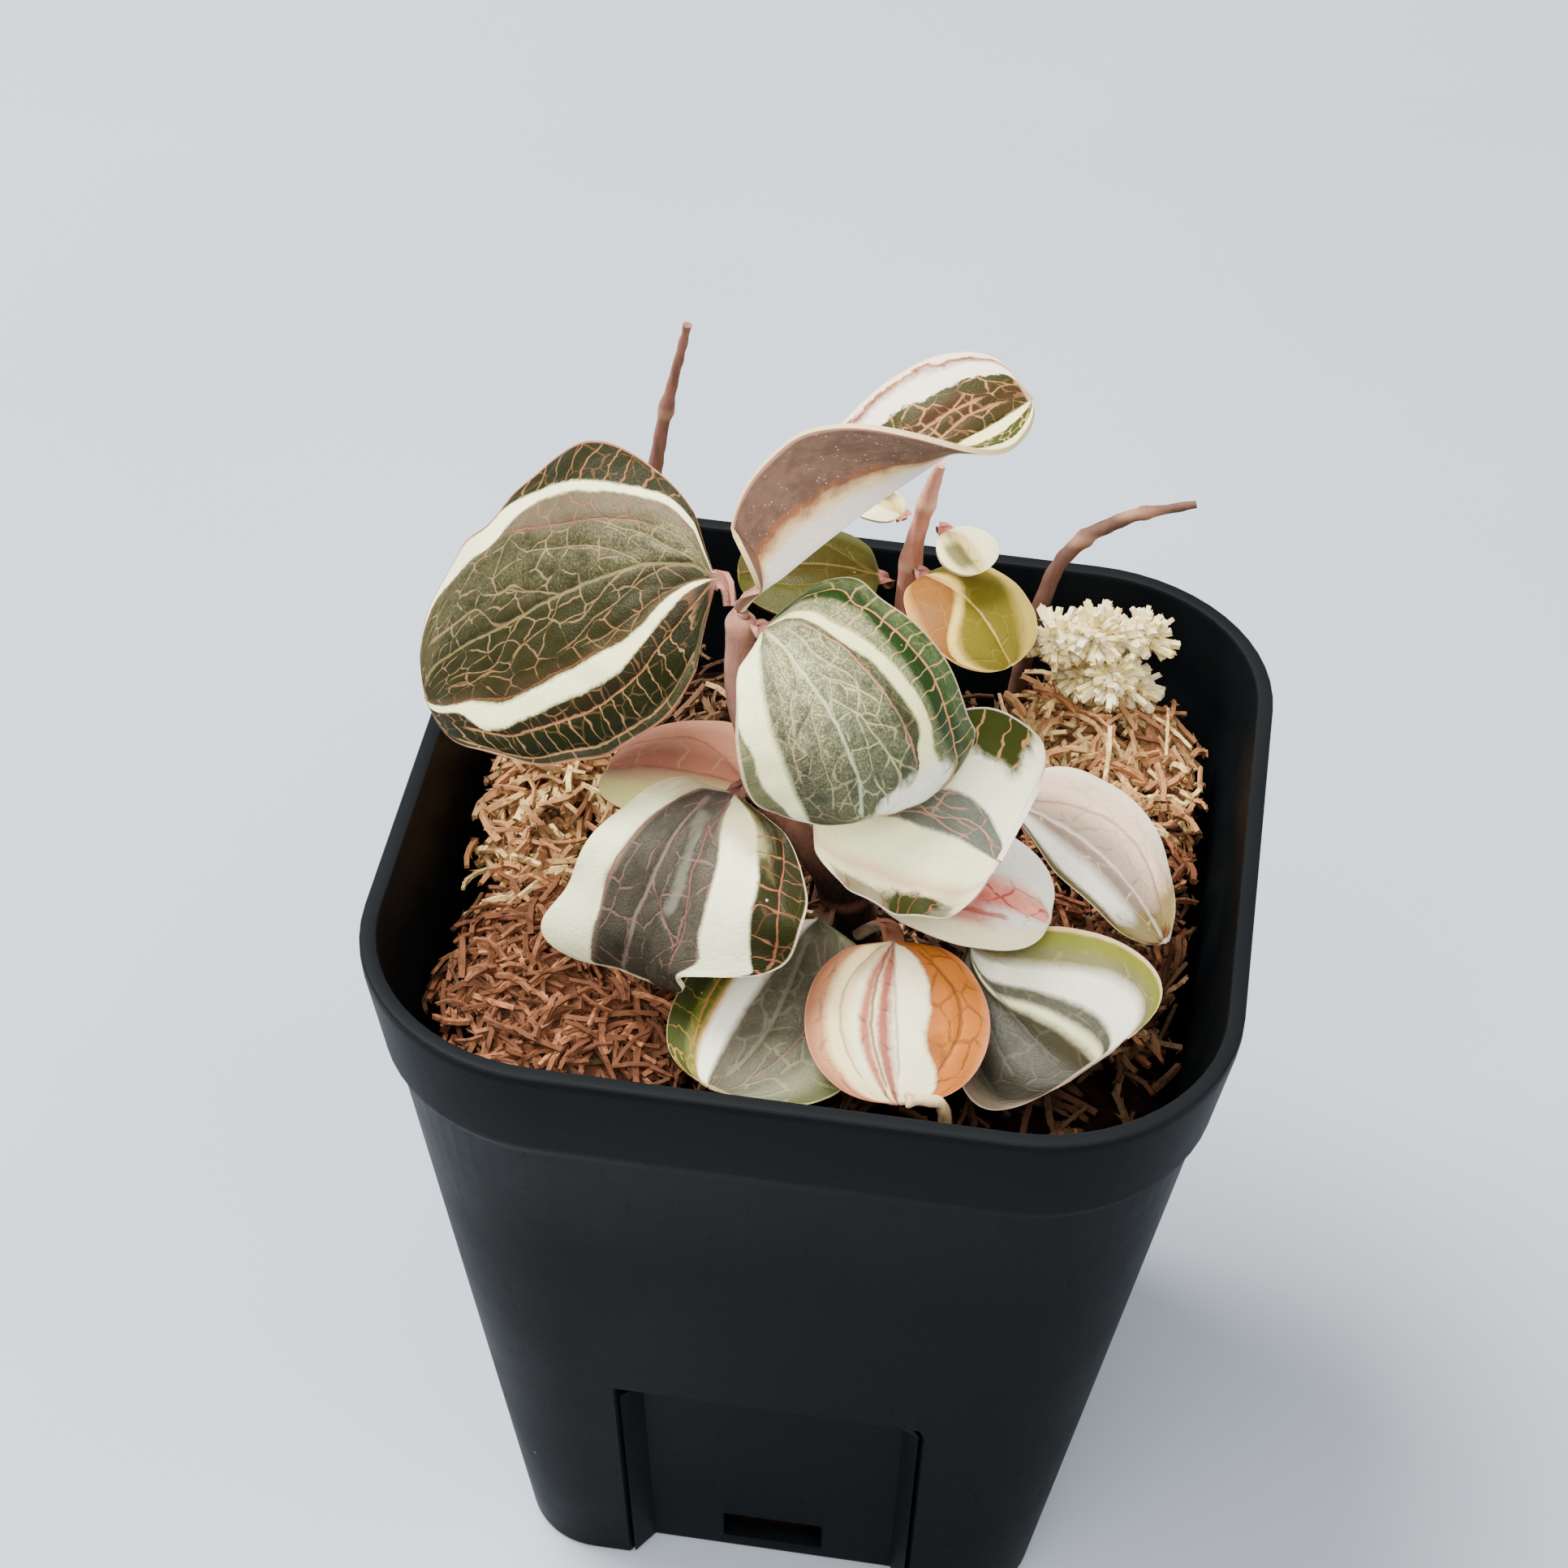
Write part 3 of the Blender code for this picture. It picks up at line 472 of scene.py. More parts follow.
@dataclass(frozen=True)
class Nerve:
    """A vein drawn through places along the blade and across it in turns, in hundredths."""

    line: Line
    width: float = 0.19
    strength: float = 0.9
    colour: str = ""

    @property
    def ends(self) -> Pair:
        """Where along the blade it starts and ends."""
        return self.line[0] / 100, self.line[-2] / 100


@dataclass(frozen=True)
class Patch:
    """A patch of another colour, by its stretch along the blade and its lanes."""

    along: Pair
    lanes: Pair
    ground: str
    strength: float = 1.0
    soft: float = 0.05
    rungs: float = 0.0
    vein: str = "c48a63"


@dataclass(frozen=True)
class BladeFinish:
    """Everything that one leaf's upper side shows."""

    name: str
    bands: tuple[Band, ...]
    tracks: tuple[Track, ...] = ()
    nerves: tuple[Nerve, ...] = ()
    patches: tuple[Patch, ...] = ()
    rungs_left: Line = EVEN_RUNGS
    rungs_right: Line = EVEN_RUNGS
    rung_slant: float = 0.08
    rung_pitch: float = 1.7
    rung_width: float = 0.18
    ragged: float = 0.03
    cell: Pair = (2.6, 1.9)
    vein_width: float = 0.048
    edge: str = "d8cdb8"
    petiole: str = "b08a80"
    # colour of the dust and of the painted glints
    dust_and_glint_colour: str = "c9cdc4"
    dust_reach: Pair = (0.1, 0.6)
    blotch: float = 0.25
    blotch_colour: str = "3b3a22"
    roughness: float = 0.42
    gloss: float = 0.1


@dataclass(frozen=True)
class UnderFinish:
    """What a leaf's underside shows: a granular ground that pales toward the keel."""

    name: str
    ground: str
    shade: str
    transition: str
    keel: str
    cream: str
    keel_reach: Pair = (0.25, 0.5)
    edge: str = "e6d6cc"



class BladeSheet(MaterialSheet):
    """Material of one side of a blade, with the place on the blade at hand."""

    def __init__(self, name: str, effects: Effects, seed: float, size: Pair, ragged: float) -> None:
        """Find the place.

        Args:
            name: name of the material.
            effects: the shared node groups.
            seed: start of the leaf's own noise.
            size: half width and length of the blade, mm.
            ragged: how ragged the edges between stripes are.
        """
        super().__init__(name)
        self.effects, self.seed = effects, seed
        place = self.group(effects.blade_place, Half=size[0], Length=size[1], Ragged=ragged, Seed=seed)
        self.lane, self.along, self.reach, self.across_mm, self.along_mm = place.values()
        self.point = self.vector(self.along_mm, self.across_mm, seed)

    def cloud(self, scale: float, detail: float, rough: float = 0.5) -> Value:
        """Noise over the blade."""
        return self.noise(self.point, scale, detail, rough)


class UpperSheet(BladeSheet):
    """Material of an upper side."""

    SPECK = "f4efe0"
    FLESH = (0.07, (0.8, 0.65, 0.45), 0.6)

    def __init__(self, looks: BladeFinish, effects: Effects, seed: float, size: Pair) -> None:
        """Keep the looks."""
        super().__init__(looks.name, effects, seed, size, looks.ragged)
        self.looks = looks

    def build(self) -> Material:
        """Lay stripes, veins, dust with painted glints, and margins over each other."""
        looks = self.looks
        share = self.lane * 0.5 + 0.5
        ground = self.ramp(share, self.stops(lambda band: paint(band.ground)))
        vein = self.ramp(share, self.stops(lambda band: paint(band.vein)))
        strengths = self.ramp(share, self.stops(lambda band: (band.net, band.rungs, band.dust, 1.0)))
        net_share, rung_share, dust_and_glint_share = self.values("SeparateColor", {0: strengths}).values()

        rungs = self.group(self.effects.rungs, Pitch=looks.rung_pitch, Width=looks.rung_width,
                           Along_mm=self.along_mm, Across_mm=self.across_mm, Seed=self.seed)["Mask"]
        blotches = self.fade(self.cloud(0.33, 4.0, 0.6), 0.42, 0.68)
        ground = self.cover(ground, looks.blotch_colour, blotches * looks.blotch * (net_share | rung_share))
        for patch in looks.patches:
            mask = self.patch_mask(patch)
            ground = self.cover(ground, patch.ground, mask)
            if patch.rungs:
                vein = self.cover(vein, patch.vein, mask)
                rung_share = rung_share | mask * patch.rungs

        net = self.group(self.effects.vein_net, Along=self.along_mm, Across=self.across_mm,
                         Cell_Along=looks.cell[0], Cell_Across=looks.cell[1], Width=looks.vein_width,
                         Seed=self.seed)["Mask"]
        veins = net * net_share | rungs * rung_share
        colour, veins = self.nerves(vein, self.mix(veins, ground, vein), veins)

        grain = self.group(self.effects.grain, Vector=self.point, Cell=0.17)
        # Dust, and a painted highlight where grain cells glint
        colour = self.dust_and_painted_glints(colour, grain["Glint"], dust_and_glint_share)
        colour = self.shaded(0.55, colour, self.cloud(1.4, 5.0, 0.65) * 0.5 + 0.75)
        edge = self.fade(self.reach, 0.975, 0.992) | self.fade(self.along, 0.985, 0.997)
        colour = self.cover(colour, looks.edge, edge * 0.8)
        colour = self.cover(colour, looks.petiole, self.fade(self.along, -0.01, 0.025, 1.0, 0.0))
        speck = self.group(self.effects.specks, Vector=self.point, Pitch=1.3, Size=0.075, Rarity=0.86)["Mask"]
        colour = self.cover(colour, self.SPECK, speck * 0.75)
        rough = self.cloud(3.0, 2.0) * 0.16 + (veins * 0.1 + (looks.roughness - 0.08))
        height = grain["Dome"] * 0.3 - veins * 0.7 + blotches * 0.3
        return self.finish(colour, rough, looks.gloss, height, 0.12, 0.8, self.FLESH)

    def nerves(self, vein: Value, colour: Value, veins: Value) -> tuple[Value, Value]:
        """Lay the drawn veins over the colour.

        Args:
            vein: colour of the veins here.
            colour: colour so far.
            veins: mask of the veins so far.

        Returns:
            The colour and the mask of all veins.
        """
        wander = self.cloud(0.9, 3.0, 0.6)
        for number, nerve in enumerate(self.looks.nerves):
            if number % 3 == 0:
                distances = self.parts(self.kept(nerve_layer(number), "Vector"))
            start, end = nerve.ends
            line = self.group(self.effects.nerve, Distance=distances[number % 3], Along=self.along,
                              Start=start, End=end, Width=nerve.width, Wander=wander)["Mask"]
            mask = line * nerve.strength
            colour = self.mix(mask, colour, paint(nerve.colour) if nerve.colour else vein)
            veins = veins | mask
        return colour, veins

    def dust_and_painted_glints(self, colour: Value, glint: Value, share: Value) -> Value:
        """The colour under a silvery dusting that is thickest near the base, and under painted glints where
        the grain sparkles.
        """
        low, high = self.looks.dust_reach
        near = self.fade(self.along, low, high, 1.0, 0.25)
        cloud = self.fade(self.cloud(0.7, 4.0, 0.7), 0.3, 0.6, 0.25, 1.0)
        fine = self.fade(self.cloud(5.0, 3.0, 0.7), 0.42, 0.62)
        amount = near * cloud * share * (fine * 0.7 + 0.3)
        # Painted highlight: glinting grain cells take the dust colour too
        return self.cover(colour, self.looks.dust_and_glint_colour, amount | glint * share * 0.7)

    def patch_mask(self, patch: Patch) -> Value:
        """Mask that is 1 inside a patch, with a ragged outline."""
        drift = (self.cloud(0.5, 3.0, 0.6) - 0.5) * 0.22
        sides = []
        for value, (low, high) in ((self.along, patch.along), (self.lane, patch.lanes)):
            place = value + drift
            rise = self.fade(place, low - patch.soft, low + patch.soft)
            sides.append(rise * self.fade(place, high - patch.soft, high + patch.soft, 1.0, 0.0))
        return sides[0] * sides[1] * patch.strength

    def stops(self, value: Callable[[Band], Sequence[float]]) -> list[tuple[float, Sequence[float]]]:
        """Ramp stops that hold each band's value up to a soft edge."""
        bands, stops = self.looks.bands, []
        for number, band in enumerate(bands):
            stops.append(((band.start + 1 + band.soft) / 2 if number else 0.0, value(band)))
            if number + 1 < len(bands):
                following = bands[number + 1]
                stops.append(((following.start + 1 - following.soft) / 2, value(band)))
        return stops


def underside(looks: UnderFinish, effects: Effects, seed: float) -> Material:
    """Material of an underside.

    Args:
        looks: colours of the underside.
        effects: the shared node groups.
        seed: start of the leaf's own noise.

    Returns:
        The material.
    """
    sheet = BladeSheet(looks.name, effects, seed, (9.0, 22.0), 0.14)
    ragged = (sheet.cloud(0.4, 4.0, 0.6) - 0.5) * 0.24
    reach = sheet.reach + ragged + sheet.fade(sheet.along, 0.0, 1.0, -0.1, 0.04)
    low, high = looks.keel_reach
    places = (low, blend(looks.keel_reach, 0.35), blend(looks.keel_reach, 0.7), high)
    codes = (looks.keel, looks.cream, looks.transition, looks.ground)
    colour = sheet.ramp(reach, [(place, paint(code)) for place, code in zip(places, codes)])
    tone = sheet.fade(sheet.cloud(0.8, 4.0, 0.65), 0.4, 0.65)
    outer = sheet.fade(reach, low, high)
    colour = sheet.cover(colour, looks.shade, tone * 0.55 * outer)
    grain = sheet.group(effects.grain, Vector=sheet.point, Cell=0.2)
    # Painted highlight: pale glints where grain cells sparkle
    colour = sheet.cover(colour, "e9ded4", grain["Glint"] * outer * 0.7)
    colour = sheet.cover(colour, looks.edge, sheet.fade(sheet.reach, 0.95, 0.985) * 0.8)
    rough = sheet.cloud(4.0, 2.0) * 0.2 + 0.38
    return sheet.finish(colour, rough, 0.1, grain["Dome"], 0.06, 0.7, (0.08, (0.8, 0.6, 0.5), 0.6))


# The maker's bench

class Bench:
    """Operators in the order in which a modeller uses them."""

    @staticmethod
    def clear() -> None:
        """Deselect everything."""
        if bpy.context.object and bpy.context.object.mode != "OBJECT":
            bpy.ops.object.mode_set(mode="OBJECT")
        bpy.ops.object.select_all(action="DESELECT")

    @staticmethod
    def take(name: str) -> Object:
        """Name the object that an operator has just added."""
        item = bpy.context.object
        item.name = item.data.name = name
        return item

    @staticmethod
    def put(name: str, data: ID) -> Object:
        """Put data into the scene as an object."""
        item = bpy.data.objects.new(name, data)
        bpy.context.scene.collection.objects.link(item)
        return item

    @staticmethod
    def choose(*items: Object) -> None:
        """Select only these objects, with the first one active."""
        Bench.clear()
        for item in items:
            item.select_set(True)
        bpy.context.view_layer.objects.active = items[0]

    @staticmethod
    @contextmanager
    def editing(item: Object) -> Iterator[None]:
        """Edit mode with the whole mesh selected."""
        Bench.choose(item)
        bpy.ops.object.mode_set(mode="EDIT")
        bpy.ops.mesh.select_all(action="SELECT")
        yield
        bpy.ops.object.mode_set(mode="OBJECT")

    @staticmethod
    def apply(item: Object, kind: str, **settings: object) -> None:
        """Add a modifier with its settings and apply it."""
        Bench.choose(item)
        modifier = item.modifiers.new(kind.lower(), kind)
        for name, value in settings.items():
            setattr(modifier, name, value)
        bpy.ops.object.modifier_apply(modifier=modifier.name)

    @staticmethod
    def smooth(item: Object, degrees: float) -> None:
        """Shade smooth up to an angle between faces."""
        Bench.choose(item)
        bpy.ops.object.shade_smooth_by_angle(angle=math.radians(degrees))

    @staticmethod
    def join(items: Sequence[Object], name: str) -> Object:
        """Join objects into the first one and name it."""
        Bench.choose(*items)
        bpy.ops.object.join()
        return Bench.take(name)


def hand_over(item: Object, material: Material, slot: Slot, nodes: Sequence[str] = ()) -> None:
    """Give a finished piece its material and body, and hide the solids it stands for.

    Args:
        item: the finished piece.
        material: its finish, unless it has its materials already.
        slot: the record's material slot; not used.
        nodes: CAD nodes that the piece replaces.
    """
    if not item.data.materials:
        item.data.materials.append(material)
    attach(item, "root")
    if nodes:
        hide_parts(*nodes)
    LOG.info("%s: %d faces", item.name, len(item.data.polygons))


# Leaves

@dataclass(frozen=True)
class LeafShape:
    """One leaf: its midrib, how its halves lie, and its outline. Angles are degrees."""

    root: Point                 # where the petiole leaves the stem
    base: Point                 # where the blade starts
    heading: float              # compass direction of the midrib, 0 = +X, 90 = +Y
    rise: float                 # climb of the midrib at the base
    length: float
    half: Pair                  # half widths, left and right
    droop: float                # fall of the climb from base to tip
    roll: float = 0.0           # left side up
    twist: float = 0.0          # change of roll to the tip
    fold: tuple[Pair, Pair] = ((10, 10), (10, 10))
    curl: tuple[Pair, Pair] = ((-40, -40), (-40, -40))
    low: Pair = (0.45, 0.45)    # bluntness at the base, left and right
    high: Pair = (0.4, 0.4)     # bluntness at the tip
    ease: Pair = (0.0, 1.0)     # stretch in which fold and curl change
    lobes: tuple[tuple[str, float, float, float], ...] = ()
    wave: float = 0.0           # height of the margin's waves
    waves: float = 3.0


def smooth_values(line: Line, places: np.ndarray) -> np.ndarray:
    """Places across the blade of a smooth line, at places along it."""
    knots = np.array(line).reshape(-1, 2) / 100
    slopes = np.gradient(knots[:, 1], knots[:, 0])
    index = np.clip(np.searchsorted(knots[:, 0], places) - 1, 0, len(knots) - 2)
    gap = knots[index + 1, 0] - knots[index, 0]
    t = np.clip((places - knots[index, 0]) / gap, 0.0, 1.0)
    start, end = knots[index, 1], knots[index + 1, 1]
    return (start * (1 + 2 * t) * (1 - t) ** 2 + end * t * t * (3 - 2 * t)
            + gap * (slopes[index] * t * (1 - t) ** 2 + slopes[index + 1] * t * t * (t - 1)))


def lanes(tracks: Sequence[Track], along: np.ndarray, across: np.ndarray) -> np.ndarray:
    """Lane of each place: a whole track keeps its lane wherever it runs.

    Args:
        tracks: tracks from the right margin to the left one.
        along: places along the blade.
        across: places across the blade.

    Returns:
        Values from -1 to 1.
    """
    edges = [np.full(len(along), -1.0)] + [smooth_values(track.line, along) for track in tracks]
    marks = [-1.0] + [track.lane for track in tracks] + [1.0]
    edges.append(np.full(len(along), 1.0))
    value = np.full(len(along), -1.0)
    for number in range(len(marks) - 1):
        low = edges[number]
        high = np.maximum(edges[number + 1], low + 0.004)
        edges[number + 1] = high
        value += (marks[number + 1] - marks[number]) * np.clip((across - low) / (high - low), 0.0, 1.0)
    return value


def rung_count(rungs: Sequence[float], along: np.ndarray, across: np.ndarray, slant: float) -> np.ndarray:
    """Count of rungs passed on the way along the blade; rungs lean toward the tip by slant at the midrib."""
    return np.interp(along - slant * (1 - np.abs(across)), rungs, np.arange(len(rungs)))


def keep_values(mesh: Mesh, name: str, values: np.ndarray) -> None:
    """Store one value, or three, for each vertex."""
    several = values.ndim > 1
    layer = mesh.attributes.new(name, "FLOAT_VECTOR" if several else "FLOAT", "POINT")
    layer.data.foreach_set("vector" if several else "value", values.astype(np.float32).ravel())


def nerve_layer(number: int) -> str:
    """Name of the layer that holds a nerve's distances together with its two neighbours'."""
    return "nerves_" + str(number // 3)


class Blade:
    """Points of a leaf's middle surface."""

    STEPS = 120
    PETIOLE_WRAP = 145.0
    PETIOLE_HALF = 0.8
    TIP_HALF = 0.12
    SOFT_END = 0.06
    FLAT_BASE = 0.3
    GROOVE = 0.2
    GROOVE_HALF = 0.4
    GROOVE_STEPS = 100
    RELIEF = 0.22
    RELIEF_ALONG = 0.32
    RELIEF_ACROSS = 0.42
    LEAST_CURL = 0.001
    WAVE_SHIFT = 1.3

    def __init__(self, shape: LeafShape, nerves: Sequence[Nerve], seed: float) -> None:
        """Walk along the midrib.

        Args:
            shape: the leaf's sizes.
            nerves: veins that lie in grooves.
            seed: start of the leaf's own relief.
        """
        self.shape = shape
        self.seed = seed
        places = np.linspace(0.0, 1.0, self.GROOVE_STEPS + 1)
        self.grooves = [(*nerve.ends, smooth_values(nerve.line, places)) for nerve in nerves]
        self.centres = [Vector(shape.base)]
        previous = self.direction(0.0)
        for step in range(1, self.STEPS + 1):
            here = self.direction(step / self.STEPS)
            self.centres.append(self.centres[-1] + (previous + here) * (shape.length / self.STEPS / 2))
            previous = here

    def direction(self, u: float) -> Vector:
        """Direction of the midrib."""
        turn = math.radians(self.shape.heading)
        climb = math.radians(self.shape.rise - self.shape.droop * u)
        return Vector((math.cos(climb) * math.cos(turn), math.cos(climb) * math.sin(turn), math.sin(climb)))

    def frame(self, u: float) -> tuple[Vector, Vector, Vector]:
        """Centre, left side and upper normal at a place along the blade."""
        place = u * self.STEPS
        index = min(int(place), self.STEPS - 1)
        centre = self.centres[index].lerp(self.centres[index + 1], place - index)
        turn = math.radians(self.shape.heading)
        level_side = Vector((-math.sin(turn), math.cos(turn), 0.0))
        side, normal = tilted(self.direction(u), level_side, self.shape.roll + self.shape.twist * u)
        return centre, side, normal

    def width(self, u: float, left: bool) -> float:
        """Half width of one side."""
        shape = self.shape
        number = 0 if left else 1
        low, high = shape.low[number], shape.high[number]
        peak = low / (low + high)
        full = u ** low * max(1 - u, 0.0) ** high / (peak ** low * (1 - peak) ** high)
        size = shape.half[number] * full * min(1.0, (u / self.SOFT_END) ** 0.5)
        for side, place, spread, bulge in shape.lobes:
            if (side == "left") == left:
                size += bulge * math.exp(-((u - place) / spread) ** 2) * min(1.0, full)
        least = self.PETIOLE_HALF + (self.TIP_HALF - self.PETIOLE_HALF) * min(1.0, 8 * u)
        return max(least, size)

    def point(self, u: float, v: float) -> Vector:
        """A point of the surface.

        Args:
            u: place from the base at 0 to the tip at 1.
            v: place from the right margin at -1 to the left one at 1.

        Returns:
            The point, in millimetres.
        """
        shape = self.shape
        left = v > 0
        number = 0 if left else 1
        reach = abs(v)
        start, end = shape.ease
        mix = min(1.0, max(0.0, (u - start) / (end - start)))
        if shape.ease != (0.0, 1.0):
            mix = mix * mix * (3 - 2 * mix)
        opening = min(1.0, self.FLAT_BASE + (1 - self.FLAT_BASE) * u / self.SOFT_END)
        fold = math.radians(blend(shape.fold[number], mix) * opening)
        curl = math.radians(blend(shape.curl[number], mix))
        if abs(curl) < self.LEAST_CURL:
            curl = self.LEAST_CURL
        radius = shape.half[number] / curl
        out = self.width(u, left) * reach
        turn = out / radius
        across = radius * (math.sin(fold + turn) - math.sin(fold))
        up = radius * (math.cos(fold) - math.cos(fold + turn))
        phase = 2 * math.pi * shape.waves * u + (self.WAVE_SHIFT if left else 0.0)
        up += shape.wave * reach ** 2 * math.sin(phase) * min(1.0, 4 * u)
        up += self.relief(u, out, v)
        centre, side, normal = self.frame(u)
        return centre + side * (across if left else -across) + normal * up

    def relief(self, u: float, out: float, v: float) -> float:
        """Small rise and fall of the surface: grooves along the veins and soft swells between them.

        Args:
            u: place along the blade.
            out: distance from the midrib, mm.
            v: place across the blade.

        Returns:
            Height above the smooth surface, mm.
        """
        width = self.width(u, v > 0)
        step = min(self.GROOVE_STEPS, max(0, round(u * self.GROOVE_STEPS)))
        groove = 0.0
        for start, end, course in self.grooves:
            if start < u < end:
                away = (v - course[step]) * width
                depth = self.GROOVE * min(1.0, 12 * (u - start), 8 * (end - u))
                groove = max(groove, depth * math.exp(-(away / self.GROOVE_HALF) ** 2))
        sign = 1 if v > 0 else -1
        spot = Vector((u * self.shape.length * self.RELIEF_ALONG, sign * out * self.RELIEF_ACROSS, self.seed))
        swell = noise.noise(spot) * self.RELIEF * min(1.0, out / 2.5) * min(1.0, 5 * u)
        return swell - groove

    def petiole(self, t: float, v: float) -> Vector:
        """A point of the petiole, from the stem at 0 to the blade at 1."""
        shape = self.shape
        root, base = Vector(shape.root), Vector(shape.base)
        guide = base - self.direction(0.0) * (base - root).length * 0.45
        centre = root.lerp(guide, t).lerp(guide.lerp(base, t), t)
        heading = (guide.lerp(base, t) - root.lerp(guide, t)).normalized()
        level_side = Vector((-heading.y, heading.x, 0.0)).normalized()
        side, normal = tilted(heading, level_side, shape.roll * t)
        fold = math.radians(shape.fold[0 if v > 0 else 1][0] * self.FLAT_BASE * t)
        wrap = math.radians(blend((self.PETIOLE_WRAP, 1.0), t * t))
        radius = self.PETIOLE_HALF / wrap
        across = radius * math.sin(wrap * v)
        up = radius * (1 - math.cos(wrap * v))
        turn = fold if v > 0 else -fold
        return (centre + side * (across * math.cos(turn) - up * math.sin(turn))
                + normal * (up * math.cos(turn) + across * math.sin(turn)))


def blend(pair: Pair, t: float) -> float:
    """A value between two."""
    return pair[0] + (pair[1] - pair[0]) * t


def tilted(direction: Vector, level_side: Vector, roll: float) -> tuple[Vector, Vector]:
    """Left side and upper normal of a direction, with the left side lifted by roll."""
    normal = direction.cross(level_side)
    angle = math.radians(roll)
    return (level_side * math.cos(angle) + normal * math.sin(angle),
            normal * math.cos(angle) - level_side * math.sin(angle))


@dataclass
class Leaf:
    """One leaf with its petiole."""

    STALK_ROW = 0.6     # usual length of a petiole's face, mm

    node: str
    shape: LeafShape
    upper: BladeFinish
    under: UnderFinish
    slot: Slot
    thickness: float = 0.42
    rows: int = 90
    columns: int = 64

    def build(self, effects: Effects, number: int) -> None:
        """Bend a grid by the leaf's formula, give it thickness and dress it.

        Args:
            effects: the shared node groups.
            number: the leaf's place in the plant, which sets its seed.
        """
        seed = 11.0 * number
        blade = Blade(self.shape, self.upper.nerves, seed)
        reach = (Vector(self.shape.base) - Vector(self.shape.root)).length
        stalk_share = max(4, round(reach / self.STALK_ROW)) / self.rows
        Bench.clear()
        bpy.ops.mesh.primitive_grid_add(x_subdivisions=self.columns, y_subdivisions=self.rows, size=2.0,
                                        calc_uvs=True)
        item = Bench.take(self.node + "_blade")
        mesh = item.data
        places = []
        for vertex in mesh.vertices:
            v, row = -vertex.co.x, (vertex.co.y + 1) / 2
            if row < stalk_share - 1e-6:
                t = row / stalk_share
                places.append((-(1 - t) * reach / self.shape.length, v))
                vertex.co = blade.petiole(t, v) * MM
            else:
                share = (row - stalk_share) / (1 - stalk_share)
                u = min(1.0, (1 - math.cos(math.pi * share)) / 2)
                places.append((u, v))
                vertex.co = blade.point(u, v) * MM
        layer = mesh.uv_layers[0]
        layer.name = "blade"
        for loop in mesh.loops:
            u, v = places[loop.vertex_index]
            layer.data[loop.index].uv = ((v + 1) / 2, u)
        self.mark(mesh, blade, np.array(places))
        size = (max(self.shape.half), self.shape.length)
        mesh.materials.append(UpperSheet(self.upper, effects, seed, size).build())
        mesh.materials.append(underside(self.under, effects, seed))
        Bench.apply(item, "SOLIDIFY", thickness=self.thickness * MM, offset=0.0, material_offset=1,
                    material_offset_rim=0, use_even_offset=False)
        Bench.smooth(item, 60)
        hand_over(item, mesh.materials[0], self.slot, (self.node,))

    def mark(self, mesh: Mesh, blade: Blade, places: np.ndarray) -> None:
        """Keep on the mesh the lanes, the rung count and the distances to the drawn veins.

        Args:
            mesh: mesh of the leaf.
            blade: the leaf's surface.
            places: place along and across the blade of each vertex.
        """
        along, across = np.maximum(places[:, 0], 0.0), places[:, 1]
        keep_values(mesh, "lane", lanes(self.upper.tracks, along, across))
        left, right = (rung_count(rungs, along, across, self.upper.rung_slant)
                       for rungs in (self.upper.rungs_left, self.upper.rungs_right))
        keep_values(mesh, "rung", np.where(across > 0, left, right))
        widths = np.array([blade.width(u, v > 0) for u, v in zip(along, across)])
        distances = [(across - smooth_values(nerve.line, along)) * widths for nerve in self.upper.nerves]
        distances += [np.full(len(across), 9.0)] * (-len(distances) % 3)
        for first in range(0, len(distances), 3):
            keep_values(mesh, nerve_layer(first), np.stack(distances[first:first + 3], 1))


PINK_UNDER = UnderFinish("underside_pink_brown", "b39a88", "8f7464", "c49c74", "f4efe6", "eadbc4",
    (0.1, 0.44), "d9c4b8")
PALE_UNDER = UnderFinish("underside_pale", "c9beb0", "ab9c8e", "d3c6b4", "ece8dc", "e0d8c8", (0.2, 0.6))
OLIVE_UNDER = UnderFinish("underside_olive", "8c7a3a", "6d5a22", "a99452", "d9cfa6", "c9ba84", (0.1, 0.4))

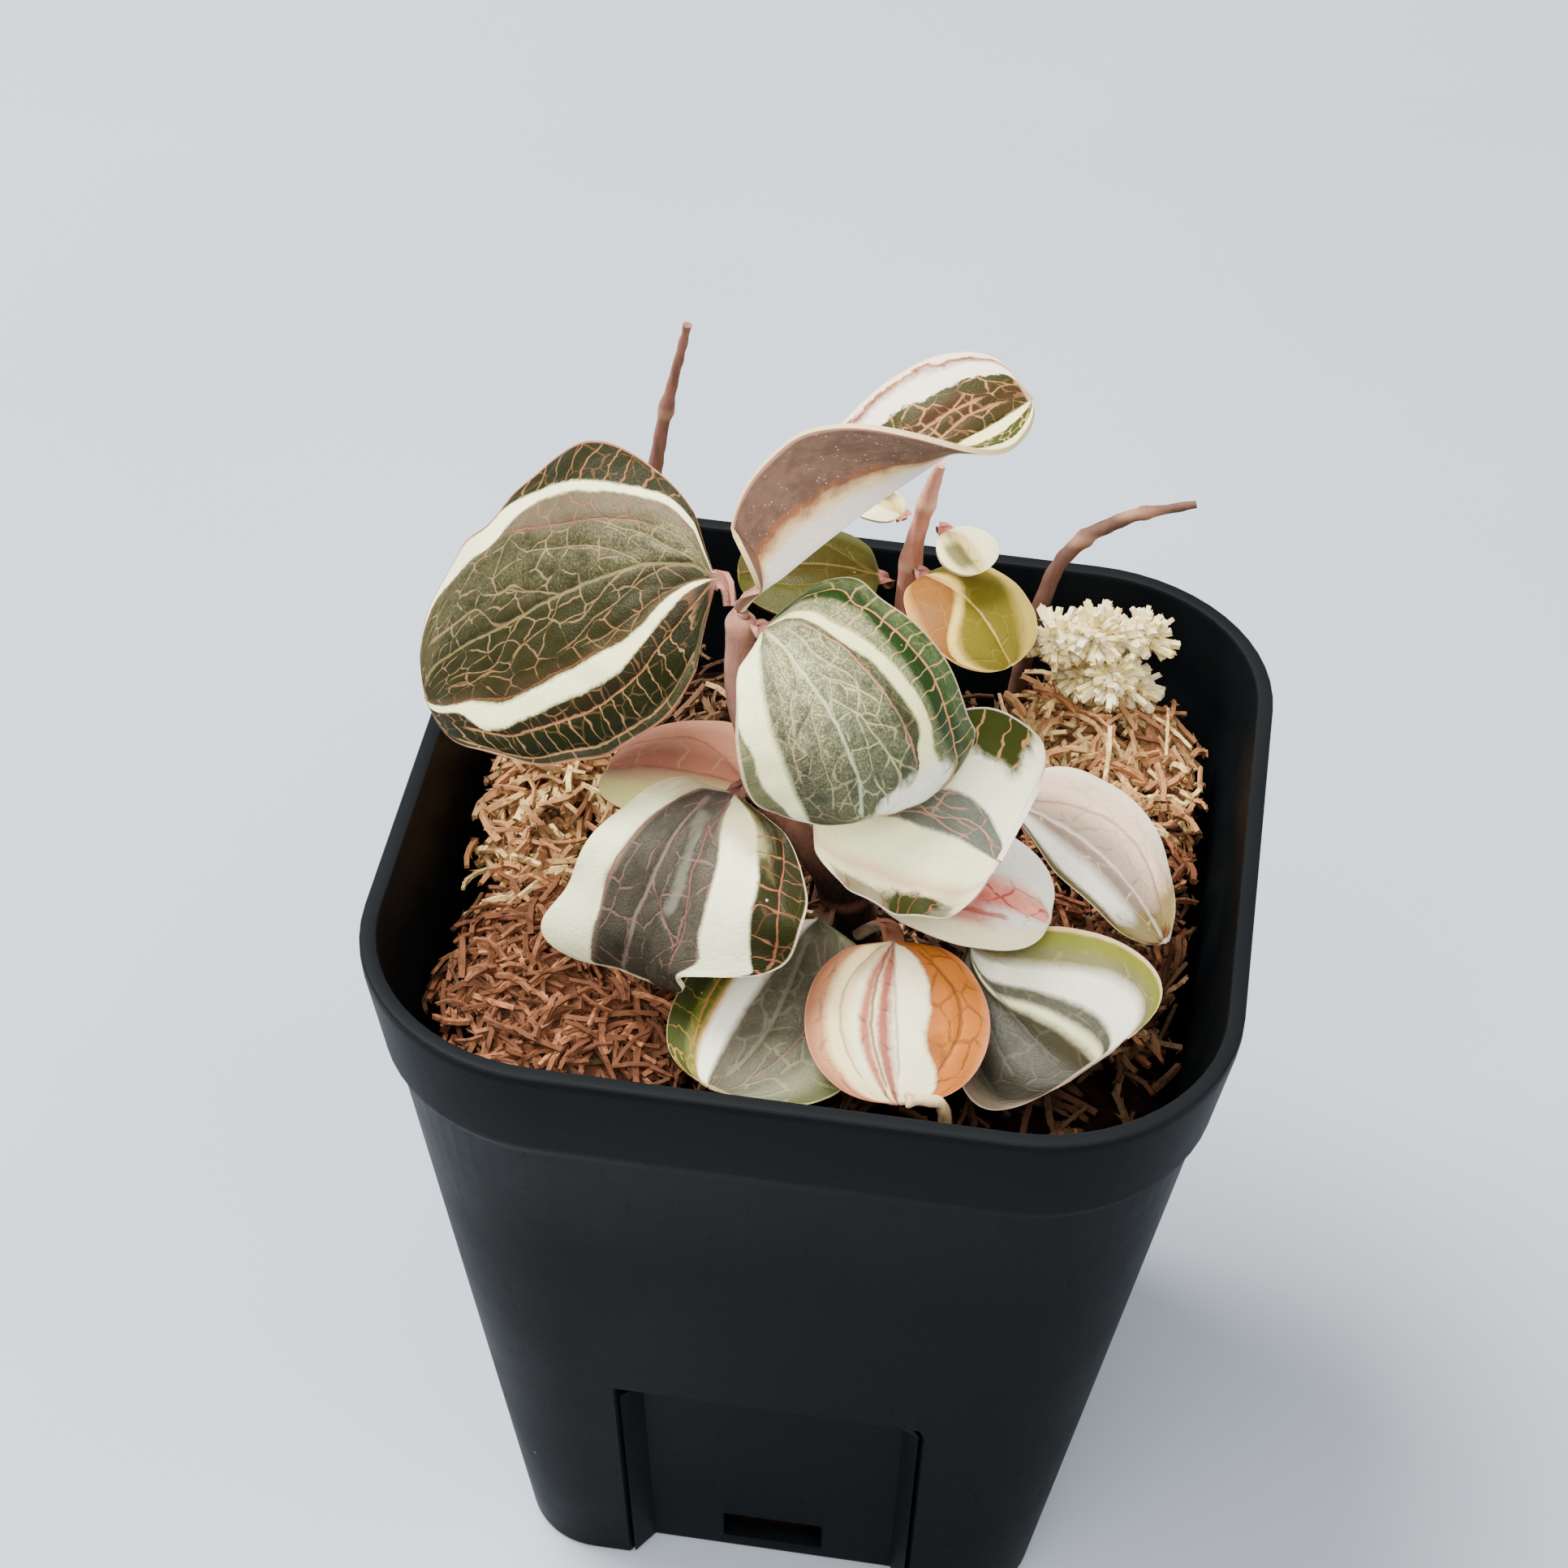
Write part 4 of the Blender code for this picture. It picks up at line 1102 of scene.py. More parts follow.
TOP_LEFT = BladeFinish(
    "blade_green_two_stripes",
    (Band(-1, "2c300c", "b08c5c", rungs=1, net=0.3, dust=0.04), Band(-0.79, "eeeed8"),
     Band(-0.67, "8f8068", "b58c70", net=0.5, dust=0.35),
     Band(-0.5, "42441f", "b19e7c", net=0.9, dust=0.75, soft=0.04),
     Band(-0.1, "3b3b14", "ad9870", net=1, dust=0.08, soft=0.1),
     Band(0.2, "3a370f", "ab8a60", net=0.9, dust=0.04, soft=0.12),
     Band(0.365, "6a542a", "ac8a64", net=0.4, dust=0.15, soft=0.04), Band(0.43, "eeeed6"),
     Band(0.58, "392e10", "a5845a", net=0.7, rungs=0.6), Band(0.72, "262a08", "b8a074", rungs=1, net=0.2),
     Band(0.915, "3c3f20", "b8a074", net=0.6, dust=0.15)),
    tracks=(
        Track(-0.79, (0, -84, 11, -84, 20, -75, 30, -69, 38, -70, 44, -75, 50, -81, 56, -90, 60, -98,
            100, -99.5)),
        Track(-0.67, (0, -70, 6, -73, 11, -75, 20, -69, 27, -65, 35, -63.5, 42, -66.5, 50, -73, 60, -77,
            78, -81, 84, -90, 100, -98)),
        Track(-0.5, (0, -50, 10, -60, 20, -50, 30, -44, 40, -44, 50, -52, 58, -69, 61, -76, 78, -80, 84, -89,
            100, -97)),
        Track(0.43, (0, -6, 6.7, 2, 10, 8.5, 15, 17, 20, 27, 25, 33, 30, 36.5, 40, 40, 50, 43, 60, 46,
            70, 48, 80, 44, 94, 38.5, 100, 30)),
        Track(0.58, (0, 3, 6.7, 11, 10, 18, 15, 29, 20, 40, 25, 47, 30, 54, 40, 57, 50, 58.5, 60, 62, 70, 65,
            78, 70, 82, 72, 86, 57, 100, 50)),
        Track(0.72, (0, 25, 6.7, 31, 11, 40, 16.7, 50, 22, 58.5, 28, 63.5, 35.5, 67, 44, 69, 55.5, 71,
            67, 72, 78, 75, 88, 70, 100, 65))),
    nerves=(
        Nerve((2, -27, 10, -21, 20, -17, 25, -14, 30, -11.5, 40, -9, 50, -8, 60, -7.7, 70, -9.6, 80, -15.4,
            86.7, -23, 93, -38.5, 100, -60), 0.36, 0.9, "a39a6c"),
        Nerve((2, 27, 6.7, 31, 11, 40, 16.7, 50, 22, 58.5, 28, 63.5, 35.5, 67, 44, 69, 55.5, 71, 67, 72,
            78, 74.6, 90, 70), 0.28, 1, "b8956c"),
        Nerve((3, 78, 6.7, 81, 11, 85, 20, 90, 33, 91.5, 50, 91.5, 67, 92, 78, 94, 95, 90), 0.26, 1,
            "c0a77c"),
        Nerve((8, -19, 11, -17, 22, -4, 29, 8, 36, 13.5, 42, 23, 50, 29)),
        Nerve((24, -14, 26, -11.5, 33, -2, 39, 10, 46, 11.5), 0.22),
        Nerve((5, -30, 10, -33, 20, -40, 30, -43, 35, -46), 0.22),
        Nerve((20, -17, 24.5, -23, 33, -29, 42, -33, 50, -40, 54.5, -48, 58, -65, 60, -75)),
        Nerve((45, -9, 51, -15.5, 58, -25, 62, -35, 64, -54, 65.5, -73)),
        Nerve((55, -20, 57, -27, 66, -38, 70, -50, 71.5, -69), 0.22),
        Nerve((62, -8, 68, -15.5, 71, -31, 78, -38.5, 84.5, -48, 89, -61.5, 93, -73), 0.3, 0.8),
        Nerve((40, -9, 44.5, -8, 50, 6, 56.7, 11, 62, 17, 66.7, 25, 73, 21, 81, 23, 92, 15)),
        Nerve((58, -7, 65, 5, 68, 13, 77, 17, 82, 11.5, 90, 10)),
        Nerve((36, 36, 40, 37, 50, 39, 60, 42.5, 70, 44, 80, 40, 88, 38), 0.2, 0.8, "9c6a48"),
        Nerve((3, 0, 8, 2, 15, 9, 22, 18, 32, 27, 42, 30), 0.2, 0.7),
        Nerve((10, -50, 20, -49, 30, -46, 42, -47, 52, -58, 59, -72), 0.24, 0.8, "a97a62")),
    rungs_left=(0, 0.06, 0.11, 0.16, 0.2, 0.26, 0.31, 0.37, 0.43, 0.483, 0.535, 0.575, 0.635, 0.7, 0.74, 0.8,
    0.87, 0.95), rungs_right=(0.02, 0.1, 0.17, 0.23, 0.27, 0.33, 0.38, 0.43, 0.48, 0.53, 0.6),
    rung_slant=0.12, rung_pitch=1.55, ragged=0.04, cell=(2.3, 1.9), vein_width=0.038, dust_and_glint_colour="c6c2a8",
    dust_reach=(0.02, 0.4), blotch=0.45, blotch_colour="2d2c0a", petiole="c7a79c", edge="c9a98e")

TOP_FRONT = BladeFinish(
    "blade_silver_two_stripes",
    (Band(-1, "93966e", "b39a84", net=0.6, dust=0.3), Band(-0.87, "ebecd6"),
     Band(-0.66, "4c543a", "bcab94", net=0.7, dust=0.5, soft=0.03),
     Band(-0.45, "5d664c", "bcb59e", net=0.8, dust=0.85, soft=0.1),
     Band(-0.15, "646e55", "c9cbb4", net=0.8, dust=0.8, soft=0.04),
     Band(0.15, "5b6646", "c9c2a2", net=0.8, dust=0.6, soft=0.1),
     Band(0.33, "50592a", "c9b08a", net=0.3, dust=0.25, soft=0.03), Band(0.43, "e8e8d0"),
     Band(0.545, "7c8a5c", "ccba92", rungs=1, dust=0.7), Band(0.64, "38651f", "ccbc94", rungs=1, soft=0.03),
     Band(0.83, "527f3e", "ccbc94", rungs=0.9, net=0.2, dust=0.2, soft=0.05)),
    tracks=(
        Track(-0.87, (0, -99, 25, -99, 32, -93, 38, -88.5, 50, -87.7, 62, -86.5, 71, -85, 80, -87, 89, -96,
            100, -99.5)),
        Track(-0.66, (0, -36, 6.7, -42, 13, -52, 20, -59, 30, -63.5, 40, -66, 50, -66, 60, -67, 70, -68.5,
            80, -73, 89, -83, 94.5, -95, 100, -98)),
        Track(0.33, (0, 18, 10, 25, 20, 28, 30, 31, 50, 32, 60, 33.5, 72, 36.5, 81, 36, 90, 24, 100, 10)),
        Track(0.43, (0, 22, 6.7, 27, 14.5, 30, 20, 33, 30, 35.4, 40, 40.4, 50, 42, 60, 45.4, 70, 46,
            75.5, 40, 81, 36.5, 90, 28, 100, 15)),
        Track(0.545, (0, 34, 6.7, 38.5, 14.5, 40, 20, 42, 25, 46, 30, 49, 40, 52, 50, 54, 60, 56, 70, 57,
            80, 53, 85, 54, 89, 58, 94.5, 66, 100, 90)),
        Track(0.64, (0, 55, 15, 62, 25, 72, 32, 66, 45, 62, 60, 62, 75, 64, 85, 66, 92, 75, 100, 93)),
        Track(0.83, (0, 80, 20, 85, 40, 83, 60, 82, 75, 84, 90, 88, 100, 97))),
    nerves=(
        Nerve((2, -4, 14.5, -9.6, 20, -12, 29, -14, 40, -14.6, 53, -16, 67, -17, 78, -16, 86.7, -19,
            94.5, -25, 100, -33), 0.4, 1, "ccd0c2"),
        Nerve((5, 66, 12, 78, 20, 74, 25.5, 80, 33, 79, 44, 77.7, 55.5, 79, 67, 77, 78, 76, 86.7, 71.5,
            93, 80, 100, 95), 0.28, 1, "d0b690"),
        Nerve((12, 24, 20, 27.7, 30, 32, 38, 31.5, 50, 32, 60, 33.5, 72, 36.5, 84, 34), 0.26, 0.95,
            "c4a898"),
        Nerve((8, 13, 12, 13, 22, 9.6, 31, 11.5, 37, 17, 44, 17, 49, 9.6, 53, 4), 0.26),
        Nerve((30, -3, 33, 0, 38, 8, 45, 17, 55, 25), 0.24),
        Nerve((40, -8, 45, -4, 53, 6, 60, 8, 67, 11.5, 73, 15.4, 82, 19, 92, 19), 0.28),
        Nerve((56, 8, 58, 11.5, 61, 20, 64, 26, 70, 18), 0.24),
        Nerve((14, -10, 18, -15, 27, -23, 32, -38.5, 38, -44, 48, -52), 0.28),
        Nerve((34, -14, 36.7, -17, 41, -31, 43, -38.5, 48, -52, 58, -59), 0.26),
        Nerve((38, -24, 42, -29, 50, -33, 58, -36.5, 67, -38.5, 78, -40, 90, -55), 0.24),
        Nerve((58, -16, 62, -19, 67, -31, 75, -34), 0.26),
        Nerve((74, -16, 77, -18, 84.5, -35, 92, -52), 0.26),
        Nerve((80, -2, 84, 2, 90, 8, 97, 12), 0.24),
        Nerve((20, -42, 30, -47, 42, -54, 55, -57, 70, -60), 0.22, 0.7),
        Nerve((5, -14, 10, -20, 16, -27, 24, -36), 0.24, 0.7)),
    patches=(
        Patch((0.86, 1.1), (0.2, 0.6), "f3f3ec", soft=0.04),
        Patch((0.88, 1.1), (-0.95, -0.7), "f0efe8", 0.8)),
    rungs_left=(0, 0.08, 0.17, 0.235, 0.297, 0.36, 0.41, 0.46, 0.52, 0.577, 0.66, 0.71, 0.76, 0.82, 0.89,
    0.96), rungs_right=(0.05, 0.18, 0.33, 0.42, 0.5, 0.62, 0.7, 0.8, 0.92), rung_slant=0.03, rung_pitch=1.35,
    ragged=0.03, cell=(2.1, 1.5), vein_width=0.05, dust_and_glint_colour="d6d6c2", dust_reach=(0.1, 0.9), blotch=0.35,
    blotch_colour="434c2e", petiole="c9a79c", edge="d9d2c4", roughness=0.34, gloss=0.14)

TOP_FOLDED = BladeFinish(
    "blade_folded_ruffled",
    (Band(-1, "eae4d2", "a88a60"), Band(-0.82, "64702c", "d9cba8", net=0.8, rungs=0.6),
     Band(-0.5, "e7e6cf", "a09a50"), Band(-0.12, "5e5424", "c2a880", net=0.9, rungs=0.3),
     Band(0.14, "66401c", "c6a880", net=0.9, rungs=0.3, soft=0.15),
     Band(0.45, "5c5a1e", "c8b088", net=0.9, soft=0.08), Band(0.58, "f0ebe0", "b98f6a"),
     Band(0.84, "bd9478", "94684c", net=0.6, soft=0.06), Band(0.93, "ede4da")),
    nerves=(
        Nerve((0, 0, 50, 2, 100, 0), 0.3, 0.8, "d9cda8"),
        Nerve((30, 5, 50, 20, 70, 32, 90, 30), 0.3),
        Nerve((55, 5, 70, 15, 85, 20, 95, 15), 0.28)),
    ragged=0.16, cell=(1.8, 1.5), vein_width=0.055, rung_pitch=2.4, blotch=0.5, blotch_colour="3a4a16",
    edge="d9cfb8", petiole="c7a79c")

MIDDLE_LEFT = BladeFinish(
    "blade_grey_white_stripes",
    (Band(-1, "ecedda", "c9a090"), Band(-0.65, "aba08c", "a08272", net=0.3, soft=0.02),
     Band(-0.6, "5d5647", "a3857a", net=0.8, dust=0.25, soft=0.03),
     Band(-0.24, "605a4a", "a68c80", net=0.8, dust=0.25), Band(0.12, "696252", "ab8f82", net=0.8, dust=0.35),
     Band(0.33, "efefdc"), Band(0.65, "38390a", "b58d64", rungs=1, net=0.2),
     Band(0.86, "3e400e", "b58d64", rungs=0.8, net=0.3)),
    tracks=(
        Track(-0.65, (0, -50, 6.7, -54, 16.7, -60, 27, -66, 50, -67, 60, -69, 67, -64, 73, -60, 82, -56,
            89, -55.5, 95.5, -63, 100, -80)),
        Track(-0.6, (0, -45, 6.7, -50, 16.7, -55, 27, -60, 50, -60, 60, -62, 67, -62, 73, -58.5, 82, -54.6,
            89, -54, 95.5, -61.5, 100, -78)),
        Track(0.33, (0, 5, 5.5, 6, 12, 10, 22, 17, 33, 25, 44, 30, 55.5, 34, 67, 40, 73, 50, 79, 67, 83, 82,
            87, 95, 100, 97)),
        Track(0.65, (0, 35, 5.5, 38.5, 10, 48, 20, 52, 30, 57.7, 40, 61.5, 50, 65.4, 60, 73, 67, 83, 71, 94,
            74, 98, 100, 98.5))),
    nerves=(
        Nerve((5, 6, 12, 6, 22, 4, 32, 8, 42, 10, 50, 15.4, 62, 21, 72, 27, 78, 35, 82, 50, 85, 70), 0.22,
            0.9, "ad8378"),
        Nerve((15, -13, 20, -11.5, 29, -4, 40, 2, 50, 6, 65, 5), 0.9, 0.7, "a5a599"),
        Nerve((50, -22, 53, -19, 60, -6, 66, 6, 72, 20, 78, 30), 0.24, 0.9, "a8837a"),
        Nerve((8, -31, 20, -29, 33, -27, 44, -24, 55.5, -23, 72, -25, 83, -22, 91, -25, 100, -35), 0.42,
            0.85, "aa9a92"),
        Nerve((5, -54, 22, -61, 33, -64, 44, -63.5, 58, -65, 67, -62, 75, -58), 0.22, 0.8, "b08078"),
        Nerve((3, 85, 6.7, 85, 16.7, 79, 27, 75, 37, 79, 48, 85.4, 60, 90, 70, 97), 0.24, 1, "b98c68"),
        Nerve((5, -5, 12, -20, 20, -28), 0.24, 0.7, "9d7a70"),
        Nerve((8, 2, 16, -3, 24, -8, 32, -10), 0.22, 0.6, "9d8079")),
    patches=(
        Patch((-0.1, 0.2), (-0.62, 0.3), "75695f", 0.7, 0.1),
        Patch((-0.1, 0.22), (0.3, 0.7), "c9c6a6", 0.7, 0.08),
        Patch((-0.1, 0.16), (-1.2, -0.6), "c9bfa6", 0.7, 0.08)),
    rungs_left=(0, 0.07, 0.135, 0.2, 0.27, 0.36, 0.515, 0.61, 0.7, 0.8, 0.9), rung_slant=0.12,
    rung_pitch=1.6, ragged=0.02, cell=(3.2, 2.8), vein_width=0.036, dust_and_glint_colour="a39c90",
    dust_reach=(0.6, 1.2), blotch=0.3, blotch_colour="4a4a38", edge="e7ded0", petiole="b08a7c")

MIDDLE_RIGHT = BladeFinish(
    "blade_white_grey_centre",
    (Band(-1, "e9e6d4"), Band(-0.72, "dcd2c2", soft=0.08), Band(-0.56, "edeed8", soft=0.08),
     Band(0.02, "8e9488", "ccb4a4", net=0.8, dust=0.6), Band(0.28, "f0f0de"), Band(0.9, "ecead6", soft=0.04)),
    tracks=(
        Track(0.02, (0, -20, 10, -13, 20, -2, 30, 3, 40, 4, 60, 2, 80, 2, 100, 0)),
        Track(0.28, (0, 2, 20, 12, 35, 15, 45, 22, 60, 30, 70, 30, 80, 27, 90, 20, 100, 12))),
    nerves=(
        Nerve((20, 5, 40, 8, 55, 12, 70, 7, 85, 5), 0.2, 0.9, "ccb2a4"),
        Nerve((35, 10, 50, 18, 62, 12, 80, 16, 95, 10), 0.2, 0.9, "cfb7a8"),
        Nerve((55, 27, 66, 20, 78, 22), 0.18, 0.8, "cfb7a8")),
    patches=(
        Patch((0.16, 0.9), (-1.2, -0.83), "a89a80", 0.85, 0.05, 0.9, "b9947a"),
        Patch((0.52, 0.8), (-1.1, -0.76), "5f6426", 1, 0.04, 1, "c0906c"),
        Patch((0.3, 0.9), (0.6, 1.2), "5a641c", 1, 0.05, 1, "cbb384"),
        Patch((-0.1, 0.2), (-0.6, 0), "dcdac4", 0.6, 0.1)),
    rungs_left=(0.3, 0.45, 0.55, 0.65, 0.75, 0.85), rungs_right=(0, 0.25, 0.5, 0.6, 0.68, 0.76, 0.95),
    rung_pitch=1.6, ragged=0.03, cell=(2.6, 1.9), vein_width=0.04, dust_and_glint_colour="c2c6b8", blotch=0.3,
    blotch_colour="757a6a", edge="f3ece2", petiole="c7a79c")

MIDDLE_BACK = BladeFinish(
    "blade_pink_and_cream",
    (Band(-1, "dcc2b0", "e2cdbe"), Band(-0.55, "e0c8b6", "e8d8ca", net=0.3, soft=0.1),
     Band(-0.3, "d4b4a0", "e8d8ca", net=0.4, soft=0.1), Band(0.2, "ddd6c0", "c9bb9c", soft=0.2),
     Band(0.45, "e3dfc2", "c9bb9c", soft=0.1)),
    nerves=(
        Nerve((0, 0, 40, 0, 100, -10), 0.4, 0.7, "d3b3a4"),
        Nerve((5, -10, 30, -35, 60, -50, 95, -50), 0.4, 0.6, "cfae9f")),
    patches=(
        Patch((0.1, 0.42), (0.42, 0.9), "7d7468", 0.8, 0.08),),
    ragged=0.06, blotch=0.2, blotch_colour="c08c7a", edge="e6decb", petiole="b7907f")

LOW_RIGHT = BladeFinish(
    "blade_pinkish_white",
    (Band(-1, "9a9062", "ab9c68", net=0.5), Band(-0.86, "ecebe2", soft=0.05),
     Band(-0.4, "bbaea2", "ddd5ca", net=0.5, soft=0.14), Band(-0.05, "cfc5ba", "b3a294", net=0.4, soft=0.12),
     Band(0.3, "e0d8ce", "c4b2a4", net=0.2, soft=0.12), Band(0.8, "e9e3da", soft=0.08)),
    nerves=(
        Nerve((0, 0, 40, 2, 100, 0), 0.4, 0.5, "f3efec"),
        Nerve((5, 10, 30, 35, 60, 50, 90, 40), 0.35, 0.6, "c9aaa2")),
    patches=(
        Patch((0.8, 1.2), (-1.4, 1.4), "b5a860", 0.9, 0.06),
        Patch((0.965, 1.2), (-1.4, 1.4), "9a5a2c", 0.9, 0.02)),
    ragged=0.05, blotch=0.2, blotch_colour="b3a9a0", edge="ece4dc", petiole="c7a79c")

LOW_RIGHT_FRONT = BladeFinish(
    "blade_grey_green_fan",
    (Band(-1, "b3a896", "b9ac9a"), Band(-0.86, "5a5240", "7f7664", net=0.5, soft=0.08),
     Band(-0.5, "7c7a6c", "98958a", net=0.6, dust=0.5, soft=0.08),
     Band(-0.2, "5e5636", "8a8062", net=0.4, soft=0.06), Band(-0.04, "dcdcce", soft=0.04),
     Band(0.07, "7c7c60", "a8a486", net=0.5, dust=0.4, soft=0.03), Band(0.2, "f0f0e2", soft=0.03),
     Band(0.58, "b0ae84", "c4bc8c", net=0.6, soft=0.08), Band(0.78, "b0b254", "c4ba78", soft=0.06),
     Band(0.95, "dcd2b6")),
    tracks=(
        Track(-0.5, (0, -55, 30, -55, 100, -60)),
        Track(-0.2, (0, -40, 30, -38, 60, -30, 100, -25)),
        Track(-0.04, (0, -35, 30, -34, 60, -14, 90, 2, 100, 5)),
        Track(0.07, (0, -31, 30, -30, 60, -4, 90, 15, 100, 20)),
        Track(0.2, (0, -28, 20, -27, 30, -20, 50, 5, 70, 22, 90, 30, 100, 30)),
        Track(0.58, (0, -10, 15, -8, 30, 12, 50, 40, 70, 62, 90, 70, 100, 70))),
    nerves=(
        Nerve((0, -30, 40, -28, 90, -25), 0.3, 0.6, "8f897a"),
        Nerve((5, -45, 40, -50, 80, -60), 0.3, 0.6, "8f8f86"),
        Nerve((10, -60, 40, -72, 80, -80), 0.3, 0.5, "6f6a5e")),
    ragged=0.03, vein_width=0.06, dust_and_glint_colour="a9aaa4", dust_reach=(0.4, 1.4), blotch=0.25,
    blotch_colour="3f3a2c", edge="d9cfc4", petiole="b09a80")

LOW_FRONT = BladeFinish(
    "blade_orange_and_pink",
    (Band(-1, "c6a184"), Band(-0.9, "d0b494", "b08a6c", net=0.5, soft=0.05),
     Band(-0.76, "e2dcc8", soft=0.05), Band(-0.5, "ebe8d8", soft=0.04),
     Band(-0.4, "cfa896", "b07c6c", net=0.6, soft=0.03), Band(-0.3, "ebe6d4", soft=0.03),
     Band(-0.2, "c49484", "a06a5c", net=0.6, soft=0.03), Band(-0.08, "eeebda", soft=0.04),
     Band(0.3, "c99c54", "a8742c", net=0.6, soft=0.03), Band(0.4, "cfa244", "a8742c", net=0.6, soft=0.06),
     Band(0.93, "d6b284", soft=0.05)),
    tracks=(
        Track(-0.4, (0, -12, 30, -32, 60, -42, 100, -30)),
        Track(-0.2, (0, -5, 30, -16, 60, -22, 100, -15)),
        Track(-0.08, (0, 0, 30, -6, 60, -10, 100, -5)),
        Track(0.3, (0, 10, 10, 25, 30, 35, 50, 33, 70, 30, 85, 50, 100, 70))),
    nerves=(
        Nerve((0, -10, 30, -22, 60, -28, 95, -20), 0.3, 0.8, "a97a70"),
        Nerve((0, 0, 30, -2, 90, 0), 0.3, 0.6, "c9b8ac"),
        Nerve((10, 40, 30, 60, 60, 65, 85, 50), 0.35, 0.7, "a8743a"),
        Nerve((5, -30, 30, -55, 60, -60, 90, -50), 0.28, 0.5, "9c9488")),
    patches=(
        Patch((0, 0.3), (-0.55, -0.1), "c69a80", 0.5, 0.08),
        Patch((0.64, 0.78), (0.34, 0.5), "b8843e", 0.7, 0.04)),
    ragged=0.06, cell=(2.6, 2), vein_width=0.06, blotch=0.3, blotch_colour="be905a", edge="d3b09a",
    petiole="c09a80")

LOW_LEFT_FRONT = BladeFinish(
    "blade_brown_grey_green_edge",
    (Band(-1, "5d6a20", "c0ae62", rungs=0.8), Band(-0.62, "949c48", "cdbc6c", net=0.5, rungs=0.4, soft=0.05),
     Band(-0.44, "cdb884", soft=0.03), Band(-0.38, "efefe4", soft=0.04),
     Band(-0.1, "7c735a", "a59c86", net=0.6, dust=0.3, soft=0.05),
     Band(0.3, "878468", "b4ae94", net=0.7, dust=0.5, soft=0.12),
     Band(0.6, "a9a88c", "c2bfa6", net=0.5, dust=0.5, soft=0.06),
     Band(0.82, "8f966a", "c0bc9c", net=0.5, soft=0.08)),
    nerves=(
        Nerve((10, 30, 35, 42, 60, 45, 90, 40), 0.3, 0.8, "b09086"),
        Nerve((10, 5, 40, 15, 70, 20, 95, 15), 0.5, 0.7, "a3a090"),
        Nerve((10, -50, 40, -56, 90, -50), 0.26, 0.8, "c9a868")),
    patches=(
        Patch((0, 0.34), (-1.4, -0.4), "4b5a16", 0.8, 0.06, 0.8),),
    ragged=0.04, rung_pitch=2, vein_width=0.06, dust_and_glint_colour="aeb0a4", dust_reach=(0.5, 1.3), blotch=0.25,
    blotch_colour="57523f", edge="cfc8a8", petiole="b09a80")

LOW_UNDER = BladeFinish(
    "blade_white_with_red",
    (Band(-1, "e9e4d6"), Band(-0.5, "ecebe4", "c98a7c", net=0.3, soft=0.1),
     Band(-0.1, "e0c2b8", "c4705f", net=0.8, soft=0.12), Band(0.3, "eeeee6", soft=0.12)),
    nerves=(
        Nerve((10, -10, 40, -30, 80, -30), 0.5, 0.7, "c9705f"),),
    patches=(
        Patch((0.35, 0.7), (-0.6, 0.1), "d07a6a", 0.75, 0.12),),
    ragged=0.1, blotch=0.4, blotch_colour="c98a7a", edge="f0e8de", petiole="c7a79c")

BACK_LEFT = BladeFinish(
    "blade_olive_gold",
    (Band(-1, "7f7e26", "969040"), Band(-0.7, "645c16", "867e34", net=0.3, soft=0.15),
     Band(-0.2, "5c4a12", "867430", net=0.3, soft=0.2), Band(0.35, "6c6c20", "8e8a42", net=0.3, soft=0.2)),
    nerves=(
        Nerve((0, 0, 100, 0), 0.4, 0.6, "a39a4a"),
        Nerve((5, 5, 40, 40, 90, 40), 0.3, 0.5),
        Nerve((5, -5, 40, -40, 90, -40), 0.3, 0.5)),
    ragged=0.08, blotch=0.3, blotch_colour="5c4a10", edge="a8a050", petiole="c9a59c")

BACK_RIGHT = BladeFinish(
    "blade_gold_cream_stripe",
    (Band(-1, "d0b876", "b8a058"), Band(-0.86, "b48c40", "c49e5c", net=0.4, soft=0.08),
     Band(-0.1, "dcd29c", soft=0.06), Band(0.1, "a49a2e", "b8ae54", net=0.4, soft=0.06),
     Band(0.78, "d0c684", soft=0.08)),
    tracks=(
        Track(-0.1, (0, 10, 30, 0, 70, -90, 100, -98)),
        Track(0.1, (0, 20, 30, 18, 70, -70, 100, -95))),
    nerves=(
        Nerve((0, 2, 50, 5, 100, 0), 0.3, 0.5, "e0d3a8"),),
    ragged=0.06, blotch=0.3, blotch_colour="8a6a18", edge="e3d6b0", petiole="c9a59c")

BACK_TOP = BladeFinish(
    "blade_small_cream",
    (Band(-1, "e6dfc8", "b0a070"), Band(-0.4, "d9d3b0", "b0a070", net=0.4, soft=0.1),
     Band(0.3, "e9e4d3", "b0a070", soft=0.1)),
    patches=(
        Patch((0.3, 0.85), (-0.75, -0.1), "4a5a1a", 0.8, 0.12),),
    ragged=0.1, blotch=0.2, blotch_colour="a89a60", edge="efe9da", petiole="d0aba0")

